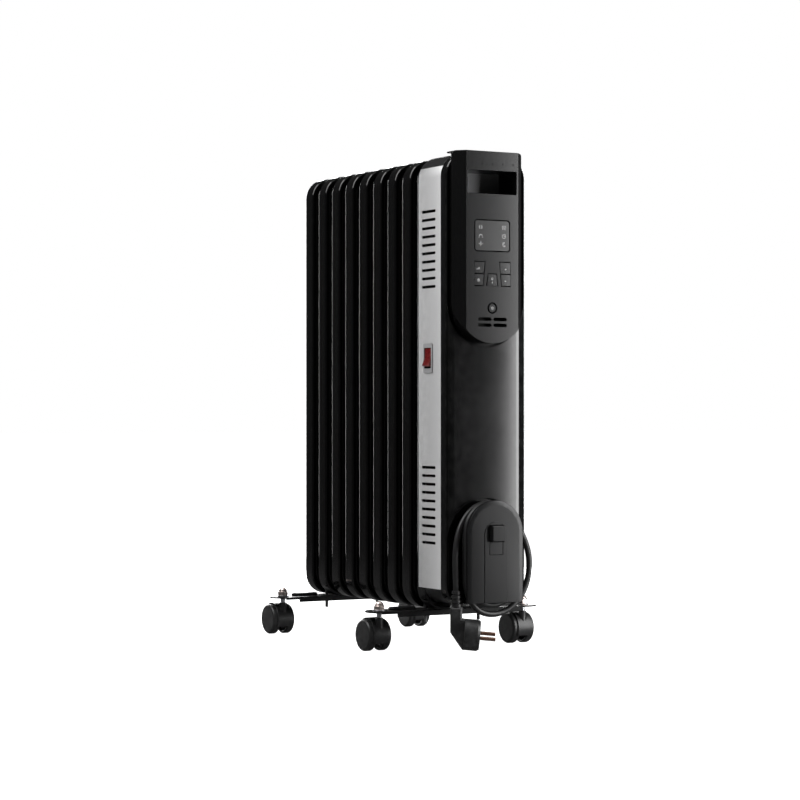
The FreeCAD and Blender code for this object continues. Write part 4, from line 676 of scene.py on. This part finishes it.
@dataclass
class Printing:
    """Thin printed strokes on a face that looks along -Y."""

    stroke: float = 0.42
    film: float = 0.04
    finish: Finish = PRINT

    def marks(self, name: str, placed: Sequence[tuple[Mark, float, float, float]], face: float,
              body: str) -> bpy.types.Object:
        """Prints pictograms as one piece.

        Args:
            name: The piece's name.
            placed: Each mark with its centre's x and z in millimetres and its scale.
            face: The printed face's distance from the cover's back plane, in millimetres.
            body: The body that it rides on.

        Returns:
            The print.
        """
        lines = [[(x + across * scale, z + upward * scale) for across, upward in line]
                 for mark, x, z, scale in placed for line in mark.value]
        return self.strokes(name, lines, face, body)

    def strokes(self, name: str, lines: Sequence[Sequence[tuple[float, float]]], face: float,
                body: str) -> bpy.types.Object:
        """Prints lines as one piece.

        Args:
            name: The piece's name.
            lines: The x and z of each line's points, in millimetres.
            face: The printed face's distance from the cover's back plane, in millimetres.
            body: The body that it rides on.

        Returns:
            The print.
        """
        curve = bpy.data.curves.new(name, "CURVE")
        curve.dimensions = "3D"
        curve.bevel_depth = self.stroke / 2 * MM
        curve.bevel_resolution = 1
        curve.use_fill_caps = True
        for line in lines:
            spline = curve.splines.new("POLY")
            spline.points.add(len(line) - 1)
            for point, (x, z) in zip(spline.points, line):
                point.co = (*place(x, -face, z), 1.0)
        piece = bpy.data.objects.new(name, curve)
        bpy.context.scene.collection.objects.link(piece)
        take(piece)
        bpy.ops.object.convert(target="MESH")
        bpy.ops.object.mode_set(mode="EDIT")
        bpy.ops.mesh.select_all(action="SELECT")
        centre = place(0.0, -face, 0.0)
        bpy.ops.transform.resize(value=(1.0, 2 * self.film / self.stroke, 1.0), center_override=centre)
        bpy.ops.object.mode_set(mode="OBJECT")
        dress(piece, self.finish)
        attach(piece, body)
        LOG.info("%s: %d faces", name, len(piece.data.polygons))
        return piece


@dataclass
class ControlPanel:
    """The panel housing with its window, keys, marks and board."""

    printing: Printing = field(default_factory=Printing)
    # strokes of painted shade over the gaps
    gap_shading: Printing = field(default_factory=lambda: Printing(stroke=1.8, finish=GAP_SHADE))
    ring_steps: int = 24
    window_columns: tuple[float, float] = (-16.6, 17.0)
    window_rows: tuple[float, float, float] = (526.6, 516.2, 506.2)
    window_scale: float = 1.7
    window_gap: float = 0.2          # millimetres, as all lengths of the gaps below
    window_corner: float = 2.4
    key_levels: tuple[float, float, float] = (484.2, 469.3, 454.4)
    key_inner: float = 10.4
    key_outer: float = 26.2
    key_lean: float = 2.9
    middle_key: tuple[tuple[float, float], ...] = ((-8.2, 454.4), (-6.1, 469.4), (6.1, 469.4), (8.2, 454.4))
    ring_gap: float = 0.3
    grip_depth: float = 0.02         # metres, as the next two: where the grip's back wall is
    grip_half: float = 0.036
    grip_levels: tuple[float, float] = (0.56, 0.6)
    forward: float = -0.9            # a face whose normal's y is below this looks to the front

    def build(self) -> None:
        """Makes the shell, window, board and keys."""
        shell = carried("control_panel", PANEL_PLASTIC, Edge.MOULDED, 3)
        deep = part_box("control_panel")[0].y + self.grip_depth
        low, high = self.grip_levels
        # painted light on the grip recess's back wall
        refinished(shell, RECESS_PAINTED_LIGHT, lambda centre, normal: normal.y < self.forward and centre.y > deep
                   and abs(centre.x) < self.grip_half and low < centre.z < high)
        carried("display_window", WINDOW, Edge.STAMPED)
        carried("control_board", LAMINATE, Edge.SHEET)
        keys = ("key_left_upper", "key_left_lower", "key_right_upper", "key_right_lower", "key_middle",
                "power_key")
        for key in keys:
            carried(key, KEY_PLASTIC, Edge.SHEET)
        self.print_window()
        self.print_keys()
        self.shade_gaps()

    @staticmethod
    def front_of(node: str) -> float:
        """How far a node's front face stands before the cover's back plane, in millimetres."""
        return COVER_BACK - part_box(node)[0].y / MM

    def print_window(self) -> None:
        """Prints two columns of pictograms inside the window."""
        signs = ((Mark.BARS, Mark.WAVES), (Mark.HALF_SUN, Mark.CLOCK), (Mark.SUN, Mark.MOON))
        placed = [(mark, x, z, self.window_scale) for z, row in zip(self.window_rows, signs)
                  for x, mark in zip(self.window_columns, row)]
        self.printing.marks("window_marks", placed, self.front_of("display_window"), "heater")

    def shade_gaps(self) -> None:
        """Darkens the gaps round the window and the keys, where light doesn't reach."""
        low, high = (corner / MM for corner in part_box("display_window"))
        right, bottom, top = high.x + self.window_gap, low.z - self.window_gap, high.z + self.window_gap
        cut = self.window_corner
        lines = [[(right - cut, top), (right, top - cut), (right, bottom + cut), (right - cut, bottom),
                  (cut - right, bottom), (-right, bottom + cut), (-right, top - cut), (cut - right, top),
                  (right - cut, top)]]
        inner, outer, lean = self.key_inner, self.key_outer, self.key_lean
        upper, middle, lower = self.key_levels
        for side in (-1, 1):
            lines.append([(side * outer, upper), (side * inner, upper), (side * (inner + lean), lower),
                          (side * outer, lower)])
            lines.append([(side * outer, middle), (side * (inner + lean / 2), middle)])
        lines.append(self.middle_key)
        key_low, key_high = (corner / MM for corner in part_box("power_key"))
        radius, level = key_high.x + self.ring_gap, (key_low.z + key_high.z) / 2
        turns = [math.tau * step / self.ring_steps for step in range(self.ring_steps + 1)]
        lines.append([(radius * math.cos(turn), level + radius * math.sin(turn)) for turn in turns])
        self.gap_shading.strokes("panel_gap_shade", lines, self.front_of("control_panel"), "heater")

    def print_keys(self) -> None:
        """Prints each key's pictogram, which moves with the key."""
        for key, placed in {
            "key_left_upper": [(Mark.STEPS, -20.5, 475.7, 1.25)],
            "key_left_lower": [(Mark.CLOCK, -20.0, 461.3, 1.05)],
            "key_right_upper": [(Mark.UP, 19.5, 475.5, 1.2)],
            "key_right_lower": [(Mark.DOWN, 19.0, 461.0, 1.2)],
            "key_middle": [(Mark.RING, 0.0, 463.2, 1.3), (Mark.BAR, 0.0, 458.6, 1.2)],
            "power_key": [(Mark.STAND_BY, 0.0, 427.3, 1.1)],
        }.items():
            self.printing.marks(f"{key}_mark", placed, self.front_of(key), key)


@dataclass
class RockerSwitch:
    """The lit mains switch in the left side panel."""

    bezel_depth: float = 0.0012      # metres of the case that are its outer frame

    def build(self) -> None:
        """Makes the case and the rocker."""
        case = carried("switch_case", SWITCH_PLASTIC, Edge.MOULDED)
        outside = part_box("switch_case")[0].x
        refinished(case, BEZEL, lambda centre, normal: centre.x < outside + self.bezel_depth)
        carried("rocker", ROCKER_RED, Edge.SOFT, 3)


# ------------------------------------------------------------------ cord
@dataclass
class CordStorage:
    """The winding core and the cover in front of it."""

    def build(self) -> None:
        """Makes the core, the cover and its tongue."""
        carried("cord_storage_core", COVER_PLASTIC, Edge.MOULDED)
        carried("cord_storage_cover", STORAGE_PLASTIC, Edge.MOULDED, 3)
        carried("cord_latch", STORAGE_PLASTIC, Edge.MOULDED, 3)


@dataclass
class PowerCord:
    """The mains cord from its gland, round the core, and down to the plug.

    Points are in millimetres, y from the cover's back plane.
    """

    diameter: float = 7.5
    length: float = 1.5
    turns: int = 3
    core_low: float = 88.0
    core_high: float = 150.0
    ring: float = 28.3
    first_row: float = -9.6
    row_pitch: float = 8.1
    bend_step: int = 30              # degrees between the control points of a bend
    side_parts: int = 4              # parts into which the control points divide a straight side
    open_points: int = 10            # control points by which the last turn falls short
    shift_points: int = 8            # control points from a turn's end at which it leaves its row
    shift_length: int = 5            # control points over which it reaches the next row
    section_steps: int = 6
    order: int = 3
    line_steps: int = 10
    lead: tuple[tuple[float, float, float], ...] = (
        (41, -9.6, 111), (41, -9.6, 128), (39.5, -9.6, 146), (33.5, -9.6, 162.5), (20.5, -9.6, 175),
        (3, -9.6, 179),
    )
    loose: tuple[tuple[float, float, float], ...] = (
        (17, -25.8, 63.5), (29.5, -25.8, 74.5), (36, -25.8, 91.5), (36.8, -25.8, 112),
        (36.8, -25.8, 133), (36.2, -25.8, 154), (28.3, -25.8, 172.5), (12.5, -25.8, 184.8),
        (-6.5, -25.8, 186.8), (-24, -25.8, 179.5), (-34.8, -25.8, 164), (-36.8, -25.8, 146.5),
        (-36.3, -25.6, 126), (-36.3, -25.2, 105), (-36.3, -24.6, 84.5), (-29.5, -23.6, 65.5),
        (-15, -22.8, 52), (4, -22, 48), (23, -21.5, 51.5), (39, -21, 61.5), (51.5, -20.5, 77),
        (58, -20.5, 96), (58.8, -20.5, 118), (53, -20, 138.5), (42, -18.8, 158), (26, -17.6, 176),
        (6.5, -17.3, 186.5), (-15, -17.4, 184.5), (-32, -18.2, 172), (-43.5, -20, 154),
        (-49, -21.5, 132), (-49.8, -22, 108), (-48.4, -22, 78.5),
    )

    def bend(self, first: int, last: int, height: float) -> list[tuple[float, float]]:
        """Evenly spaced points round one end of the oval core.

        Args:
            first: The first point's angle, in degrees from +X.
            last: The last point's angle.
            height: The z of the bend's centre.

        Returns:
            The x and z of each point.
        """
        turns = [math.radians(angle) for angle in range(first, last + 1, self.bend_step)]
        return [(self.ring * math.cos(turn), height + self.ring * math.sin(turn)) for turn in turns]

    def winding(self) -> list[tuple[float, float, float]]:
        """The control points of the wound turns, from the top, down the left side and round."""
        side = self.core_high - self.core_low
        shares = [side * part / self.side_parts for part in range(1, self.side_parts)]
        lap = [*self.bend(120, 180, self.core_high),
               *((-self.ring, self.core_high - share) for share in shares),
               *self.bend(180, 360, self.core_low),
               *((self.ring, self.core_low + share) for share in shares),
               *self.bend(0, 90, self.core_high)]
        points = []
        for turn in range(self.turns):
            row = self.first_row - self.row_pitch * turn
            last = turn == self.turns - 1
            for index, (x, z) in enumerate(lap[:-self.open_points] if last else lap):
                gone = (index - len(lap) + self.shift_points) / self.shift_length
                step = 0.0 if last else min(1.0, max(0.0, gone))
                points.append((x, row - self.row_pitch * step, z))
        return points

    def build(self) -> None:
        carried("cord_gland", COVER_PLASTIC, Edge.BOLD, held=True)
        plug = carried("plug_body", PLUG_VINYL, Edge.SOFT, 3, held=True)
        pins = carried("plug_pins", COPPER, Edge.SOFT, 3)
        curve = bpy.data.curves.new("power_cord_line", "CURVE")
        curve.dimensions = "3D"
        curve.bevel_depth = self.diameter / 2 * MM
        curve.bevel_resolution = self.section_steps
        curve.use_fill_caps = True
        points = [*self.lead, *self.winding(), *self.loose]
        spline = curve.splines.new("NURBS")
        spline.points.add(len(points) - 1)
        for point, (x, y, z) in zip(spline.points, points):
            point.co = (*place(x, y, z), 1.0)
        spline.order_u = self.order
        spline.use_endpoint_u = True
        spline.resolution_u = self.line_steps
        cord = bpy.data.objects.new("power_cord_line", curve)
        bpy.context.scene.collection.objects.link(cord)
        dress(cord, CORD_VINYL)
        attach(cord, "heater")
        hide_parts("power_cord", "cord_coil")
        LOG.info("cord of %d points", len(points))


# ------------------------------------------------------------------ undercarriage
@dataclass
class Undercarriage:
    """The cross plates with their clamps, and the fixings of the castors."""

    def build(self) -> None:
        """Makes plates, clamps, stems, washers and nuts."""
        for row in ("front", "rear"):
            carried(f"castor_plate_{row}", PLATE_BLACK, Edge.BOLD, 3)
        bolts = carried("u_bolts", DARK_ZINC, Edge.MOULDED)
        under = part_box("castor_plate_front")[0].z
        refinished(bolts, BOLT_END, lambda centre, normal: centre.z < under)
        carried("wing_nuts", DARK_ZINC, Edge.SHEET)
        carried("castor_stems", ZINC, Edge.SHEET)
        carried("washers", ZINC, Edge.STAMPED)
        carried("cap_nuts", NICKEL, Edge.BOLD)


@dataclass
class Castor:
    """One swivelling castor with two wheels."""

    name: str

    def build(self) -> None:
        """Makes the fork and its wheels."""
        carried(f"{self.name}_fork", CASTOR_PLASTIC, Edge.SOFT, 3)
        for side in ("left", "right"):
            carried(f"{self.name}_wheel_{side}", CASTOR_PLASTIC, Edge.TREAD, 3)


# ------------------------------------------------------------------ studio
@dataclass(frozen=True)
class Lamp:
    """A plain rectangular lamp; places and sizes in metres."""

    name: str
    spot: tuple[float, float, float]
    aim: tuple[float, float, float]
    size: tuple[float, float]
    radiance: float

    def hang(self) -> None:
        """Puts the lamp in the scene, out of the camera's sight."""
        light = bpy.data.lights.new(self.name, "AREA")
        light.shape, light.size, light.size_y = "RECTANGLE", *self.size
        light.energy = self.radiance * math.pi * self.size[0] * self.size[1]
        lamp = bpy.data.objects.new(self.name, light)
        lamp.location = self.spot
        lamp.rotation_euler = (Vector(self.aim) - Vector(self.spot)).to_track_quat("-Z", "Y").to_euler()
        lamp.visible_camera = False
        bpy.context.scene.collection.objects.link(lamp)


@dataclass
class Studio:
    """The floor, the lamps and the camera."""

    lens: float = 105.94
    heading: float = -29.43
    eye: tuple[float, float, float] = (-1527.3, -2501.0, 297.1)
    shift: tuple[float, float] = (0.0011, 0.0169)
    ambient: float = 0.03
    sheen: float = 0.015
    glow: float = 3.0
    glow_share: float = 0.36
    mirror_share: float = 0.9        # how much of the lit floor mirrored rays lose
    sensor: float = 36.0
    clip: tuple[float, float] = (0.05, 60.0)
    floor_size: float = 60.0
    floor_colour: tuple[float, float, float, float] = (0.7, 0.7, 0.7, 1.0)
    floor_roughness: float = 0.9
    lamps: tuple[Lamp, ...] = (
        Lamp("back_box", (0.42, 1.35, 0.48), (0.0, 0.1, 0.46), (1.45, 0.92), 10.5),
        Lamp("front_right_box", (0.585, -0.722, 0.42), (0.415, -0.02, 0.4), (0.36, 1.2), 11.0),
        Lamp("top_box", (-0.2, -0.3, 2.3), (0.0, 0.0, 0.3), (1.6, 1.6), 0.8),
        Lamp("high_left_box", (-0.75, -0.02, 1.3), (-0.1, 0.0, 0.35), (0.9, 0.9), 6.4),
    )

    def floor(self) -> None:
        """A pale floor that runs out into the white surroundings; its glow leaves no shadow to the eye."""
        clear_selection()
        bpy.ops.mesh.primitive_plane_add(size=self.floor_size, location=(0.0, 0.0, 0.0))
        floor = bpy.context.object
        floor.name = "floor"
        material = bpy.data.materials.new("pale_floor")
        material.use_nodes = True
        tree = material.node_tree
        shader = tree.nodes["Principled BSDF"]
        shader.inputs["Base Color"].default_value = self.floor_colour
        shader.inputs["Roughness"].default_value = self.floor_roughness
        shader.inputs["Specular IOR Level"].default_value = 0.0
        glow = tree.nodes.new("ShaderNodeEmission")
        level = EFFECTS.math(tree, "MULTIPLY", self.seen(tree, self.sheen), self.glow)
        tree.links.new(level, glow.inputs["Strength"])
        mirrored = tree.nodes.new("ShaderNodeLightPath").outputs["Is Glossy Ray"]
        share = EFFECTS.math(tree, "MULTIPLY", self.seen(tree, 0.0), self.glow_share)
        hidden = EFFECTS.math(tree, "MULTIPLY", mirrored, self.mirror_share)
        share = EFFECTS.math(tree, "MAXIMUM", share, hidden)
        mix = tree.nodes.new("ShaderNodeMixShader")
        tree.links.new(share, mix.inputs["Fac"])
        tree.links.new(shader.outputs["BSDF"], mix.inputs[1])
        tree.links.new(glow.outputs["Emission"], mix.inputs[2])
        tree.links.new(mix.outputs["Shader"], tree.nodes["Material Output"].inputs["Surface"])
        floor.data.materials.append(material)

    @staticmethod
    def seen(tree: bpy.types.NodeTree, gloss: float) -> bpy.types.NodeSocket:
        """1 for rays of the camera and through glass, and the given share for mirrored rays."""
        path = tree.nodes.new("ShaderNodeLightPath")
        seen = EFFECTS.math(tree, "ADD", path.outputs["Is Camera Ray"], path.outputs["Is Transmission Ray"])
        mirrored = EFFECTS.math(tree, "MULTIPLY", path.outputs["Is Glossy Ray"], gloss)
        return EFFECTS.math(tree, "ADD", seen, mirrored, True)

    def surroundings(self) -> None:
        """Air that is white to the eye, dimmer in gloss and a plain grey as a light."""
        world = bpy.data.worlds.new("studio_air")
        bpy.context.scene.world = world
        world.use_nodes = True
        tree = world.node_tree
        back = tree.nodes["Background"]
        back.inputs["Color"].default_value = (1.0, 1.0, 1.0, 1.0)
        level = EFFECTS.math(tree, "MULTIPLY", self.seen(tree, self.sheen), 1.0 - self.ambient)
        tree.links.new(EFFECTS.math(tree, "ADD", level, self.ambient), back.inputs["Strength"])

    def camera(self) -> None:
        """The camera, level, at the viewing angle."""
        data = bpy.data.cameras.new("view")
        data.lens, data.sensor_width = self.lens, self.sensor
        data.shift_x, data.shift_y = self.shift
        data.clip_start, data.clip_end = self.clip
        camera = bpy.data.objects.new("view", data)
        camera.location = place(*self.eye)
        camera.rotation_euler = (math.radians(90.0), 0.0, math.radians(self.heading))
        bpy.context.scene.collection.objects.link(camera)
        bpy.context.scene.camera = camera

    def build(self) -> None:
        """Sets up the whole studio."""
        self.floor()
        self.surroundings()
        for lamp in self.lamps:
            lamp.hang()
        self.camera()
        bpy.context.scene.view_settings.view_transform = "Standard"


# ------------------------------------------------------------------ the heater
def main() -> None:
    """Builds every sub-assembly and the studio."""
    logging.basicConfig(level=logging.INFO, format="%(name)s %(message)s")
    Studio().build()
    castors = [Castor(f"castor_{row}_{side}") for row in ("front", "rear") for side in ("left", "right")]
    for assembly in (PowerCord(), FinStack(), Housing(), FrontCover(), ControlPanel(), RockerSwitch(),
                     CordStorage(), Undercarriage(), *castors):
        assembly.build()
    clear_selection()


if __name__ == "__main__":
    main()
